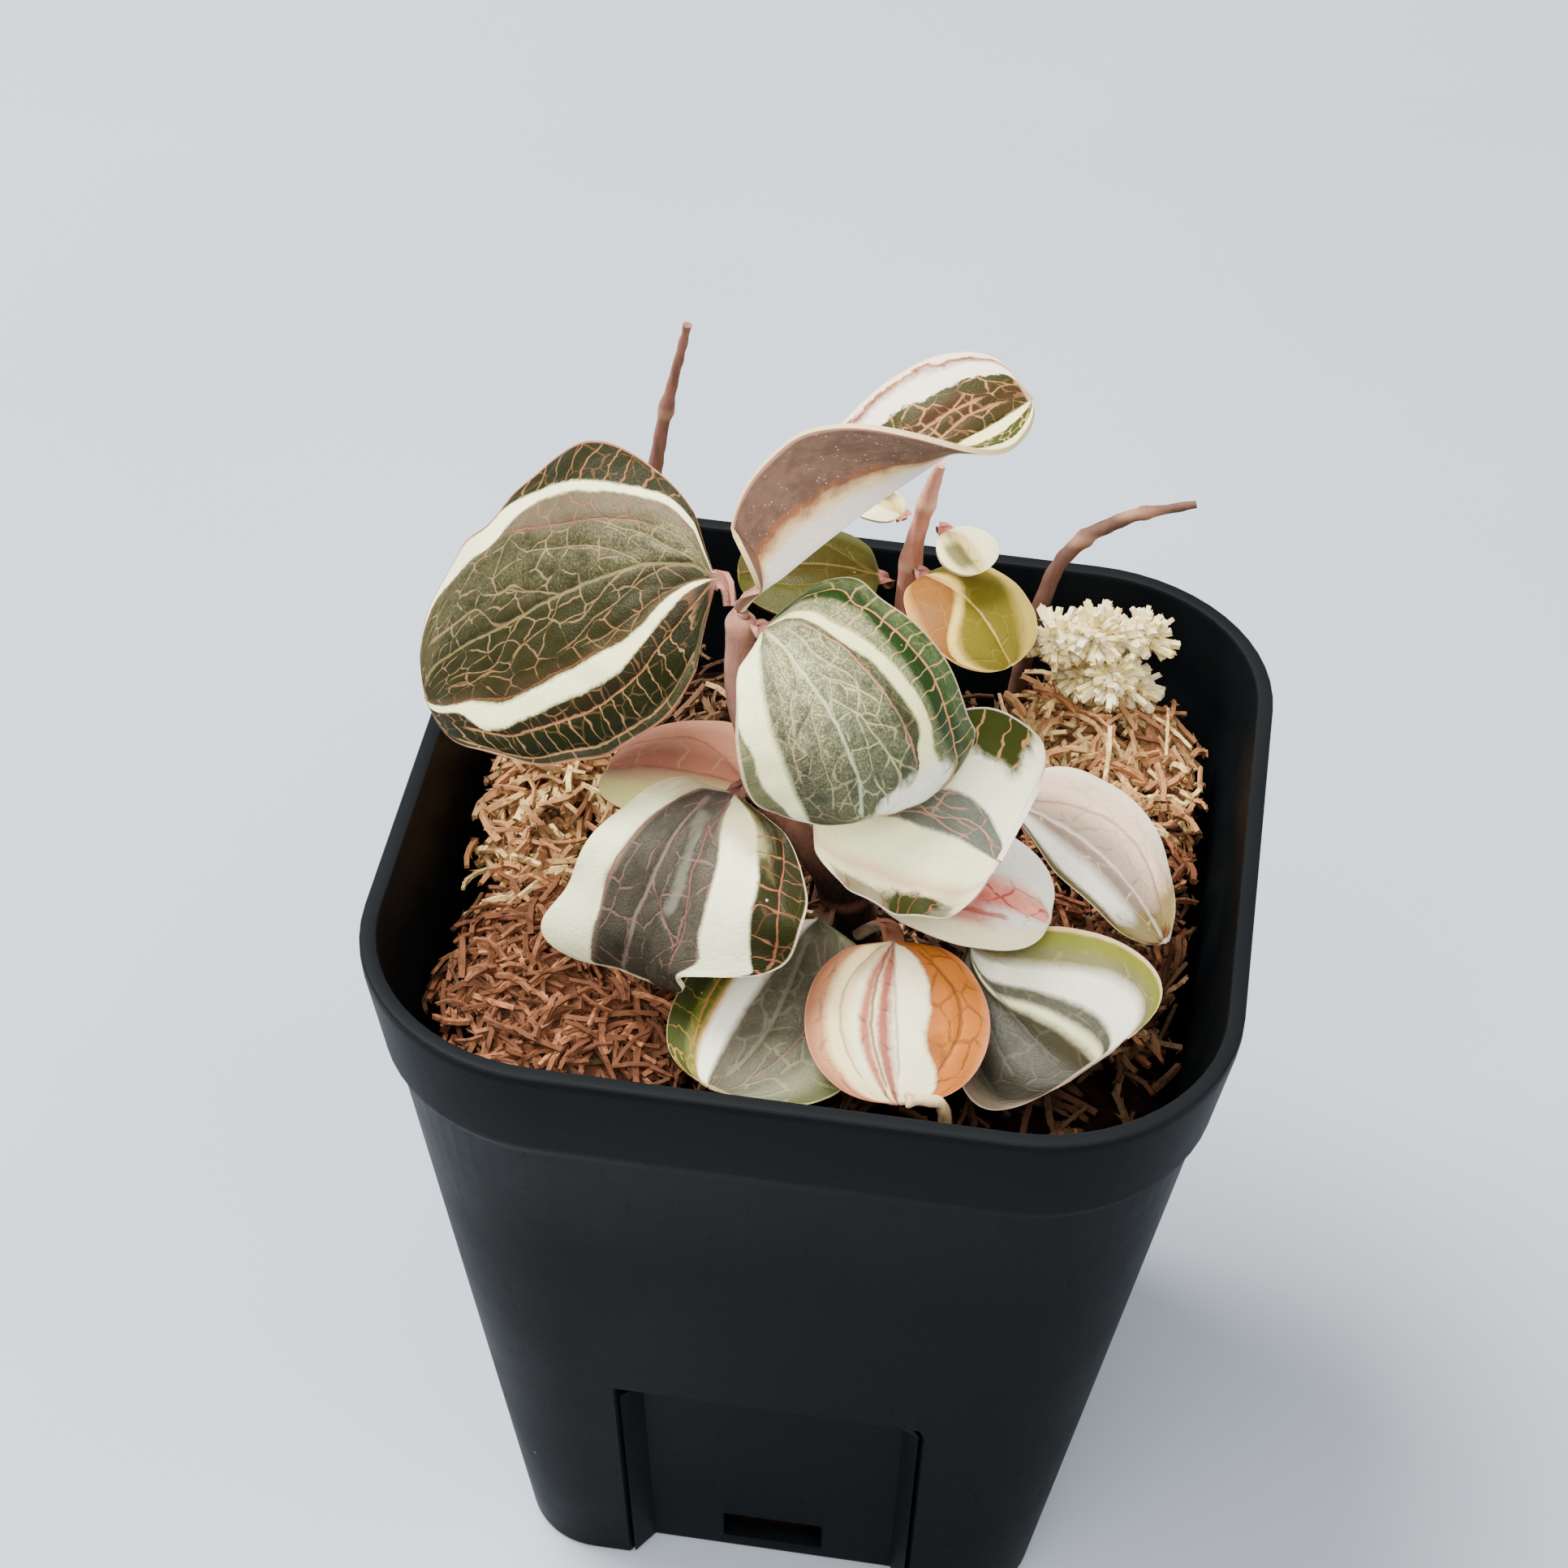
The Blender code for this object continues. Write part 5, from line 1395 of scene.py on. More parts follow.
LEAVES = (
    Leaf("leaf_top_left", LeafShape((-7.9, -7.9, 101), (-9.2, -6.6, 102.3), 180, -12, 28.5, (12, 12.6), 44,
        roll=-34, fold=((10, 8), (10, 8)), curl=((-55, -45), (-40, -30)), low=(0.4, 0.63), high=(0.48, 0.8),
        lobes=(("right", 0.37, 0.16, 2.4), ("right", 0.64, 0.07, -1.7), ("left", 0.87, 0.1, -1)), wave=0.3,
        waves=3.5), TOP_LEFT, PINK_UNDER, Slot.LEAF_GREEN, rows=150, columns=100),
    Leaf("leaf_top_folded", LeafShape((-6.7, -9.2, 101.9), (-5.6, -9, 103.6), 38, 32, 25.5, (8.4, 8.8), 18,
        roll=-30, twist=20, fold=((20, 50), (80, 5)), curl=((-10, -40), (0, 0)), low=(0.4, 0.4),
        high=(0.3, 0.65), ease=(0.3, 0.9)), TOP_FOLDED, PINK_UNDER, Slot.LEAF_PINK_BACK, rows=130,
        columns=90),
    Leaf("leaf_top_front", LeafShape((-5.4, -10, 100.7), (-4.9, -10.3, 101), -32, 8, 19, (9.4, 9.9), 107,
        roll=23, curl=((-45, -46), (10, -50)), low=(0.4, 0.5), high=(0.23, 0.38),
        lobes=(("left", 0.1, 0.1, 2.9), ("left", 0.9, 0.1, 2.6), ("right", 0.9, 0.1, -0.45),
        ("right", 0.16, 0.1, -0.5))), TOP_FRONT, PALE_UNDER, Slot.LEAF_SILVER, rows=130, columns=100),
    Leaf("leaf_middle_left", LeafShape((-6, -11.3, 85.7), (-6.5, -12.4, 85.7), -118, -5, 17.6, (11.1, 8), 87,
        curl=((-40, -50), (-29, 15)), low=(0.46, 0.32), high=(0.52, 0.15),
        lobes=(("right", 0.895, 0.13, 1.7), ("left", 0.865, 0.1, -6.2)), wave=0.4, waves=2.5), MIDDLE_LEFT,
        PALE_UNDER, Slot.LEAF_GREY, rows=120, columns=90),
    Leaf("leaf_middle_right", LeafShape((-0.75, -12.1, 84.2), (-0.2, -12.3, 84.5), -13, 24, 15.5,
        (12.6, 6.8), 42, roll=28, curl=((-30, -50), (-40, -40)), low=(0.7, 0.45), high=(0.2, 0.3), wave=0.5,
        waves=3), MIDDLE_RIGHT, PALE_UNDER, Slot.LEAF_CREAM, rows=110, columns=90),
    Leaf("leaf_middle_back", LeafShape((-3.9, -9.8, 83.2), (-5.6, -8.9, 83.5), 168, 8, 13, (5, 8), 40),
        MIDDLE_BACK, PINK_UNDER, Slot.LEAF_PINK_BACK, rows=80, columns=56),
    Leaf("leaf_low_right", LeafShape((5, -5.2, 68.5), (14.2, -0.6, 77.8), -26, 12, 18, (6.5, 3.6), 72,
        roll=18, curl=((-40, -60), (-40, -40)), low=(0.45, 0.8), high=(0.8, 0.6), wave=0.4, waves=2),
        LOW_RIGHT, PALE_UNDER, Slot.LEAF_CREAM, rows=100, columns=56),
    Leaf("leaf_low_right_front", LeafShape((4.4, -8.1, 72.2), (12.8, -13.5, 74), -34, 5, 14, (9, 9.5), 45,
        roll=25, low=(0.95, 0.6), high=(0.25, 0.25)), LOW_RIGHT_FRONT, PALE_UNDER, Slot.LEAF_GREY, rows=90,
        columns=64),
    Leaf("leaf_low_front", LeafShape((3.7, -9.6, 69.3), (7, -15.5, 75), -80, 12, 14.5, (7.4, 7.4), 60),
        LOW_FRONT, PALE_UNDER, Slot.LEAF_ORANGE, rows=90, columns=64),
    Leaf("leaf_low_left_front", LeafShape((1, -10.1, 70.8), (0.6, -12.6, 73.6), -113, -5, 17, (10, 7), 25,
        low=(0.5, 0.5)), LOW_LEFT_FRONT, PALE_UNDER, Slot.LEAF_GREY, rows=90, columns=64),
    Leaf("leaf_low_under", LeafShape((2.3, -11, 78.2), (4.6, -12.6, 78.7), -2, 10, 14.5, (8, 4.5), 35,
        roll=10), LOW_UNDER, PALE_UNDER, Slot.LEAF_CREAM, rows=80, columns=56),
    Leaf("leaf_back_left", LeafShape((0.7, 25.7, 77.2), (0, 25.3, 78.5), 190, 25, 12.5, (6.5, 6.5), 50,
        high=(0.45, 0.45)), BACK_LEFT, OLIVE_UNDER, Slot.LEAF_YELLOW_GREEN, rows=70, columns=48),
    Leaf("leaf_back_right", LeafShape((3.4, 24.5, 80), (4.1, 23.9, 80.3), -40, 20, 12, (6, 5.5), 70,
        high=(0.45, 0.45)), BACK_RIGHT, OLIVE_UNDER, Slot.LEAF_YELLOW_GREEN, rows=70, columns=48),
    Leaf("leaf_back_top_left", LeafShape((1.85, 25.55, 85), (1.6, 25.65, 85.2), 160, 25, 4.8, (2.4, 2.4), 40,
        high=(0.45, 0.45)), BACK_TOP, OLIVE_UNDER, Slot.LEAF_CREAM, rows=48, columns=28),
    Leaf("leaf_back_top_right", LeafShape((5, 24.8, 84.7), (5.7, 24.4, 84.9), -45, 10, 5, (2.8, 2.8), 50,
        curl=((-15, -15), (-15, -15)), low=(0.6, 0.6), high=(0.45, 0.45)), BACK_TOP, OLIVE_UNDER,
        Slot.LEAF_CREAM, rows=48, columns=28),
)


# Pot

@dataclass
class Pot:
    """Square nursery pot with a collar, panels let into its foot, ribs inside and drain openings."""

    # Rows of height, half width and corner radius: changes from the foot, then height and width from the
    # collar with the radius itself, outside and inside
    FOOT_EDGE = ((0.0, -0.5, -0.5), (0.2, -0.16, -0.2))
    COLLAR_EDGE = ((-0.9, -0.3, 15.2), (-0.4, -0.06, 15.4), (0.0, 0.0, 15.5))
    INNER_EDGE = ((2.0, 0.25, 15.6), (0.0, 0.0, 15.5))
    PANEL_LEVEL = 11.0
    WALL_LEVELS = (36.0, 50.0)
    LIP_LEAN = 0.02     # how far the lip's side leans in, 1 mm under its top

    height: float = 75.0
    lip_half: float = 35.0
    lip_width: float = 1.4
    lip_round: float = 0.35
    collar_z: float = 66.0
    collar_half: float = 33.7
    collar_underside: float = 64.0
    step: float = 0.9
    base_half: float = 23.1
    foot_round: float = 0.6
    wall: float = 1.25
    floor: float = 1.6
    corner_top: float = 16.5
    corner_neck: float = 14.9
    corner_base: float = 7.0
    arc_steps: int = 14
    panel_half: float = 12.6
    panel_bevel: float = 1.2
    panel_depth: float = 2.4
    panel_top: float = 29.5
    rib_pitch: float = 2.2
    rib_depth: float = 0.22
    rib_span: float = 17.6
    drain_radius: float = 2.8
    drain_offset: float = 11.0
    slot_half: float = 4.5
    slot_from: float = 2.0
    slot_to: float = 6.0
    sort_turn: float = 0.003
    gloss: float = 0.04

    def taper(self, z: float, low: float, high: float) -> float:
        """A size that grows evenly from the foot to the collar's underside."""
        return low + (high - low) * (z - self.foot_round) / (self.collar_underside - self.foot_round)

    def section(self, half: float, corner: float, dent: float = 0.0, extra: float = 0.0,
                ribs: float = 0.0) -> list[Pair]:
        """One level: a rounded square whose sides can hold a panel's dent or ribs.

        Args:
            half: half width.
            corner: corner radius.
            dent: depth of the panel.
            extra: how much wider the panel is than outside.
            ribs: depth of the grooves between ribs.

        Returns:
            Points round the level, counter-clockwise.
        """
        run = half - corner
        inner, outer = self.panel_half + extra, self.panel_half + extra + self.panel_bevel
        steps = round(2 * self.rib_span / self.rib_pitch)
        local = []
        for number in range(steps * 4 + 1):
            along = -self.rib_span + number * self.rib_pitch / 4
            depth = ribs if number % 4 in (1, 2) else 0.0
            if abs(along) < inner:
                depth = dent
            elif abs(along) < outer:
                depth = dent * (outer - abs(along)) / self.panel_bevel
            local.append((along, depth))
        limit = run / self.rib_span
        row = [(half - depth, along * min(1.0, limit * 0.98)) for along, depth in local]
        for step in range(self.arc_steps + 1):
            angle = math.radians(90 * step / self.arc_steps)
            row.append((run + corner * math.cos(angle), run + corner * math.sin(angle)))
        points = []
        for side in range(4):
            turn = math.radians(90 * side)
            points += [(x * math.cos(turn) - y * math.sin(turn), x * math.sin(turn) + y * math.cos(turn))
                       for x, y in row]
        return points

    def side(self, z: float, dent: float = 0.0, inset: float = 0.0) -> list[Pair]:
        """Section at a height below the collar: outside, or inset by the wall."""
        return self.section(self.taper(z, self.base_half, self.collar_half - self.step) - inset,
                            self.taper(z, self.corner_base, self.corner_neck) - inset, dent, inset,
                            self.rib_depth if inset and z > self.panel_top else 0.0)

    def levels(self) -> list[tuple[float, list[Pair]]]:
        """All sections, up the outside and down the inside."""
        dent = self.panel_depth
        shoulder = self.panel_top - self.panel_bevel
        top, lip, corner, round_ = self.height, self.lip_half, self.corner_top, self.lip_round
        inner_lip, inner_corner = lip - self.lip_width, corner - self.lip_width
        up = [(z, self.section(self.base_half + out, self.corner_base + more, dent))
              for z, out, more in self.FOOT_EDGE]
        up += [(z, self.side(z, dent)) for z in (self.foot_round, self.PANEL_LEVEL, shoulder)]
        up += [(z, self.side(z)) for z in (self.panel_top, *self.WALL_LEVELS, self.collar_underside)]
        up += [(self.collar_z + z, self.section(self.collar_half + out, radius))
               for z, out, radius in self.COLLAR_EDGE]
        up.append((top - 1.0, self.section(lip - self.LIP_LEAN, corner)))
        for turn in (0, 30, 60, 90):
            back = round_ - round_ * math.cos(math.radians(turn))
            z = top - round_ + round_ * math.sin(math.radians(turn))
            up.append((z, self.section(lip - back, corner - back)))
        for turn in (90, 45, 0):
            back = round_ - round_ * math.cos(math.radians(turn))
            z = top - round_ + round_ * math.sin(math.radians(turn))
            up.append((z, self.section(inner_lip + back, inner_corner + back)))
        up += [(self.collar_z + z, self.section(self.collar_half - self.wall + out, radius - self.wall))
               for z, out, radius in self.INNER_EDGE]
        up += [(z, self.side(z, inset=self.wall))
               for z in (self.collar_underside, *reversed(self.WALL_LEVELS), self.panel_top + 1.0)]
        up += [(z, self.side(z, dent, self.wall)) for z in (shoulder + 1.0, self.PANEL_LEVEL, self.floor)]
        return up

    def angle(self, point: Sequence[float]) -> float:
        """Turn of a point round the axis, counted from just before the +X axis."""
        return (math.atan2(point[1], point[0]) + self.sort_turn) % (2 * math.pi)

    def place_ring(self, mesh: Mesh, z: float, points: list[Pair]) -> None:
        """Move the selected ring of vertices to one level."""
        ring = bmesh.from_edit_mesh(mesh)
        chosen = sorted((v for v in ring.verts if v.select), key=lambda v: self.angle(v.co))
        for vertex, (x, y) in zip(chosen, sorted(points, key=self.angle)):
            vertex.co = Vector((x, y, z)) * MM
        bmesh.update_edit_mesh(mesh)

    def shell(self) -> Object:
        """Draw the outside and inside as one closed shell, ring by ring."""
        levels = self.levels()
        Bench.clear()
        bpy.ops.mesh.primitive_circle_add(vertices=len(levels[0][1]), radius=self.base_half * MM,
                                          fill_type="NOTHING")
        item = Bench.take("pot_shell")
        with Bench.editing(item):
            self.place_ring(item.data, *levels[0])
            bpy.ops.mesh.edge_face_add()
            bpy.ops.mesh.select_mode(type="EDGE")
            for z, points in levels[1:]:
                bpy.ops.mesh.extrude_edges_move(TRANSFORM_OT_translate={"value": (0.0, 0.0, 0.0)})
                self.place_ring(item.data, z, points)
            bpy.ops.mesh.edge_face_add()
        with Bench.editing(item):
            bpy.ops.mesh.normals_make_consistent(inside=False)
        return item

    def cutters(self) -> list[Object]:
        """Round holes in the floor and low slots in the sides."""
        made = []
        offset = self.drain_offset * MM
        for x, y in ((offset, 0.0), (-offset, 0.0), (0.0, offset), (0.0, -offset)):
            Bench.clear()
            bpy.ops.mesh.primitive_cylinder_add(vertices=40, radius=self.drain_radius * MM,
                                                depth=6 * self.floor * MM, location=(x, y, 0.0))
            made.append(Bench.take("drain_hole"))
        middle = (self.slot_from + self.slot_to) / 2 * MM
        tall = (self.slot_to - self.slot_from) * MM
        for size in ((80 * MM, 2 * self.slot_half * MM, tall), (2 * self.slot_half * MM, 80 * MM, tall)):
            Bench.clear()
            bpy.ops.mesh.primitive_cube_add(size=1.0, location=(0.0, 0.0, middle), scale=size)
            made.append(Bench.take("drain_slots"))
        return made

    def finish(self, effects: Effects) -> Material:
        """Satin black plastic with a fine moulded grain, a little dust and a painted highlight along the top
        of the lip.
        """
        sheet = MaterialSheet("black_nursery_plastic")
        point = sheet.millimetres()
        cloud = sheet.fade(sheet.noise(point, 0.08, 4.0, 0.6), 0.35, 0.7)
        long = sheet.move("MULTIPLY", point, (1.0, 1.0, 0.25))
        scuff = sheet.fade(sheet.noise(long, 0.9, 5.0, 0.7), 0.58, 0.78)
        # Painted highlight: mask of the top half millimetre of the lip
        lip = sheet.fade(sheet.parts(point)[2], self.height - 0.5, self.height - 0.1)
        dust = sheet.group(effects.specks, Vector=point, Pitch=7.0, Size=0.04, Rarity=0.93)["Mask"]
        colour = sheet.mix(cloud, paint("0c1013"), paint("12171b"))
        # Scuffs and dust are wear; the lip colour is a painted highlight
        for code, share in (("20252a", scuff * 0.2), ("272b30", lip * 0.6), ("9aa0a6", dust * 0.6)):
            colour = sheet.cover(colour, code, share)
        return sheet.finish(colour, scuff * 0.12 + (cloud * 0.08 + 0.46), self.gloss,
                            sheet.noise(point, 3.5, 4.0, 0.7), 0.05, 0.6)

    def build(self, effects: Effects) -> None:
        """Build the pot and dress it."""
        item = self.shell()
        for cutter in self.cutters():
            Bench.apply(item, "BOOLEAN", operation="DIFFERENCE", object=cutter, solver="EXACT")
            bpy.data.objects.remove(cutter, do_unlink=True)
        item.data.materials.clear()
        Bench.smooth(item, 25)
        hand_over(item, self.finish(effects), Slot.POT, ("pot",))


# Stems and stalks

def smooth_path(points: Sequence[Point], steps: int) -> list[Vector]:
    """Points along one smooth curve through the given points."""
    guide = [Vector(p) for p in points]
    guide = [guide[0] * 2 - guide[1]] + guide + [guide[-1] * 2 - guide[-2]]
    path = []
    for index in range(1, len(guide) - 2):
        before, start, end, after = guide[index - 1:index + 3]
        for step in range(steps):
            t = step / steps
            path.append(0.5 * ((2 * start) + (end - before) * t
                               + (2 * before - 5 * start + 4 * end - after) * t * t
                               + (3 * start - before - 3 * end + after) * t ** 3))
    path.append(guide[-2].copy())
    return path


@dataclass(frozen=True)
class StemFinish:
    """Colours of a stem from its foot to its top, with paler nodes."""

    name: str
    low: str
    high: str
    node: str
    change: Pair
    roughness: float = 0.4
    streak: float = 0.5
    streak_colour: str = "6d4f48"


@dataclass(frozen=True)
class Stem:
    """A stem or stalk along a path, swollen at its nodes."""

    MERGE = 0.00001     # distance in metres under which points are merged

    node: str
    path: tuple[Point, ...]
    radii: tuple[float, ...]
    swellings: tuple[tuple[float, float, float], ...]   # place along, spread, extra radius
    finish: StemFinish
    slot: Slot
    lumps: float = 0.05
    steps: int = 16

    def build(self, effects: Effects) -> None:
        """Run a bevelled curve along the path, swell it and dress it."""
        path = smooth_path(self.path, self.steps)
        last = len(path) - 1
        curve = bpy.data.curves.new(self.node, "CURVE")
        curve.dimensions = "3D"
        curve.bevel_depth = MM
        curve.bevel_resolution = 6
        curve.use_fill_caps = True
        spline = curve.splines.new("POLY")
        spline.points.add(last)
        for index, (made, point) in enumerate(zip(spline.points, path)):
            share = index / last
            place = share * (len(self.radii) - 1)
            low = min(int(place), len(self.radii) - 2)
            made.co = (*(point * MM), 1.0)
            made.radius = blend((self.radii[low], self.radii[low + 1]), place - low) + sum(
                extra * math.exp(-((share - at) / spread) ** 2) for at, spread, extra in self.swellings)
        Bench.choose(Bench.put(self.node + "_bark", curve))
        bpy.ops.object.convert(target="MESH")
        item = Bench.take(self.node + "_bark")
        with Bench.editing(item):
            bpy.ops.mesh.remove_doubles(threshold=self.MERGE)
            bpy.ops.mesh.normals_make_consistent(inside=False)
        for vertex in item.data.vertices:
            spot = vertex.co / MM
            vertex.co += vertex.normal * noise.noise(spot * 0.9) * self.lumps * MM
        item.data.materials.clear()
        Bench.smooth(item, 60)
        hand_over(item, self.dress(effects, path), self.slot, (self.node,))

    def dress(self, effects: Effects, path: Sequence[Vector]) -> Material:
        """Material of the stem, with streaks and rings at its nodes."""
        looks = self.finish
        sheet = MaterialSheet(looks.name)
        point = sheet.millimetres()
        height = sheet.parts(point)[2]
        streak = sheet.group(effects.streaks, Vector=point, Fineness=1.4)["Value"]
        low, high = looks.change
        colour = sheet.mix(sheet.fade(streak * 4.0 + height, low + 2, high + 2), paint(looks.low),
                           paint(looks.high))
        colour = sheet.cover(colour, looks.streak_colour, sheet.fade(streak, 0.45, 0.65) * looks.streak)
        for at, _, _ in self.swellings:
            away = abs(height - path[round(at * (len(path) - 1))].z)
            colour = sheet.cover(colour, looks.node, sheet.fade(away, 0.1, 0.9, 0.4, 0.0))
        mottle = sheet.noise(point, 2.2, 4.0, 0.7)
        colour = sheet.shaded(0.5, colour, mottle * 0.8 + 0.6)
        return sheet.finish(colour, mottle * 0.25 + (looks.roughness - 0.1), 0.2, mottle * 0.4 + streak, 0.15,
                            0.6, (0.1, (1.0, 0.4, 0.3), 0.5))


MAIN_STEM_FINISH = StemFinish("stem_purple_to_pink", "4c4242", "bc9c8c", "d3b8a8", (72, 84), 0.26, 0.3,
    "7a625c")
BACK_STEM_FINISH = StemFinish("stem_pale_pink", "cfaea2", "dcc4b8", "e6dacc", (66, 80), 0.4, 0.3, "b8958a")
STALK_FINISH = StemFinish("stalk_brown_pink", "94705e", "b99684", "d3c0ae", (80, 106), 0.65, 0.5, "7c5c4c")
TWIG_FINISH = StemFinish("twig_pale_torn", "6d5a48", "d9cdb8", "e9e2d3", (66, 72), 0.75, 0.5, "8c7a62")

STEMS = (
    Stem("main_stem", ((3, -6, 60.5), (3, -6.2, 66), (1.5, -8, 74), (-2.5, -11.5, 84), (-6.2, -10.8, 94),
        (-6.8, -9.4, 100.6), (-6.7, -9.2, 101.7)), (2, 2, 1.8, 1.5, 1.3, 1, 0.5), ((0.3, 0.05, 0.35),
        (0.53, 0.03, 0.3), (0.84, 0.04, 0.25)), MAIN_STEM_FINISH, Slot.STEM_BROWN),
    Stem("back_shoot_stem", ((1.6, 27.4, 60.5), (2, 27, 66), (2.6, 26, 80), (4.2, 24, 90), (4.9, 23.2, 93)),
        (1, 0.95, 0.85, 0.65, 0.4), ((0.5, 0.03, 0.2), (0.68, 0.03, 0.2)), BACK_STEM_FINISH, Slot.STEM_PINK),
    Stem("dry_stalk_left", ((-18.2, 16.9, 60), (-18.4, 16.8, 80), (-18, 16.4, 95), (-15.2, 14.3, 110.5)),
        (0.75, 0.7, 0.6, 0.35), ((0.55, 0.02, 0.25), (0.8, 0.02, 0.2)), STALK_FINISH, Slot.STALK, 0.12),
    Stem("dry_stalk_right", ((12.3, 27.6, 60), (13, 28.6, 68), (15.2, 30.6, 78), (20, 32, 82.5),
        (26.4, 32.3, 85)), (0.8, 0.8, 0.7, 0.6, 0.35), ((0.3, 0.02, 0.25), (0.62, 0.02, 0.22),
        (0.84, 0.02, 0.18)), STALK_FINISH, Slot.STALK, 0.12),
    Stem("dry_twig", ((13.5, -25.5, 60), (13, -27.6, 67), (12.7, -28.3, 70.8), (11.6, -28.9, 71.9),
        (9.9, -29.5, 72.2)), (0.6, 0.55, 0.5, 0.45, 0.4), ((0.98, 0.05, 0.2),), TWIG_FINISH, Slot.TWIG,
        0.15),
)


# Moss

@dataclass(frozen=True)
class MossFinish:
    """Colours of moss strands, with dark patches of painted shade strewn by noise, and a painted highlight
    that makes them paler toward their ends.
    """

    name: str
    painted_shade: str
    main: str
    warm: str
    pale: str
    tip_highlight_share: float = 0.35


@dataclass(frozen=True)
class MossZone:
    """Strands strewn over one part of the bed."""

    piece: str
    centre: Pair
    spread: Pair
    count: int
    length: float
    lift: float
    width: float
    finish: MossFinish
    slot: Slot
    nodes: tuple[str, ...] = ()
    core: Optional[Point] = None
    core_lift: float = 0.0
    lobes: tuple[tuple[float, float, float, float], ...] = ()   # round heads: centre and radius


RUST = MossFinish("moss_rust_strands", "45281a", "a67a58", "a0704e", "d0b08e", 0.5)
BEIGE = MossFinish("moss_beige_strands", "7a6142", "cbb590", "c9ab84", "e8dec4", 0.6)
CREAM = MossFinish("moss_cream_strands", "e4d8b2", "f5f1dc", "f0e6ca", "f7f4e6", 0.8)
PALE = MossFinish("moss_pale_strands", "4a3524", "a08464", "a07c5c", "d6c6aa", 0.5)
DARK = MossFinish("moss_dark_strands", "1e120a", "6a4c34", "80563a", "a08a68", 0.3)

ZONES = (
    MossZone("moss_carpet", (0, 0), (30, 30), 840, 8, 1.7, 0.8, DARK, Slot.MOSS_DARK),
    MossZone("moss_carpet_middle", (-6, 6), (17, 16), 360, 8, 1.9, 0.8, PALE, Slot.MOSS_PALE),
    MossZone("moss_rust_tuft", (-18.5, -15), (11.5, 12), 760, 8.5, 3.8, 0.8, RUST, Slot.MOSS_RUST,
        ("moss_rust",), (9, 9, 2)),
    MossZone("moss_beige_tuft", (-25, 7), (6.4, 14), 590, 8, 6, 0.9, BEIGE, Slot.MOSS_BEIGE, ("moss_beige",),
        (5.5, 9, 2)),
    MossZone("moss_cream_tuft", (19.8, 25.2), (4.6, 3.6), 560, 4.4, 6.6, 1.15, CREAM, Slot.MOSS_CREAM,
        ("moss_cream",), (2.4, 2.2, 5.5), 3.2, ((19.2, 25, 75, 3.2), (15.9, 24.6, 74.4, 2.3),
        (23.3, 25.8, 74.8, 2.2), (21, 23.5, 71.8, 2.6), (18.2, 25, 70.6, 2.6), (22.6, 25, 69.4, 2.4))),
    MossZone("moss_pale_tuft", (26, -4), (3.5, 9), 150, 7, 2.6, 0.85, PALE, Slot.MOSS_PALE, ("moss_pale",),
        (2.2, 5, 1.6)),
    MossZone("moss_back_right", (22, 19), (8.5, 11), 520, 7.5, 5.6, 0.85, BEIGE, Slot.MOSS_BEIGE),
    MossZone("moss_right_rust", (23, 6), (7.5, 20), 370, 7.5, 3.6, 0.8, RUST, Slot.MOSS_RUST),
)


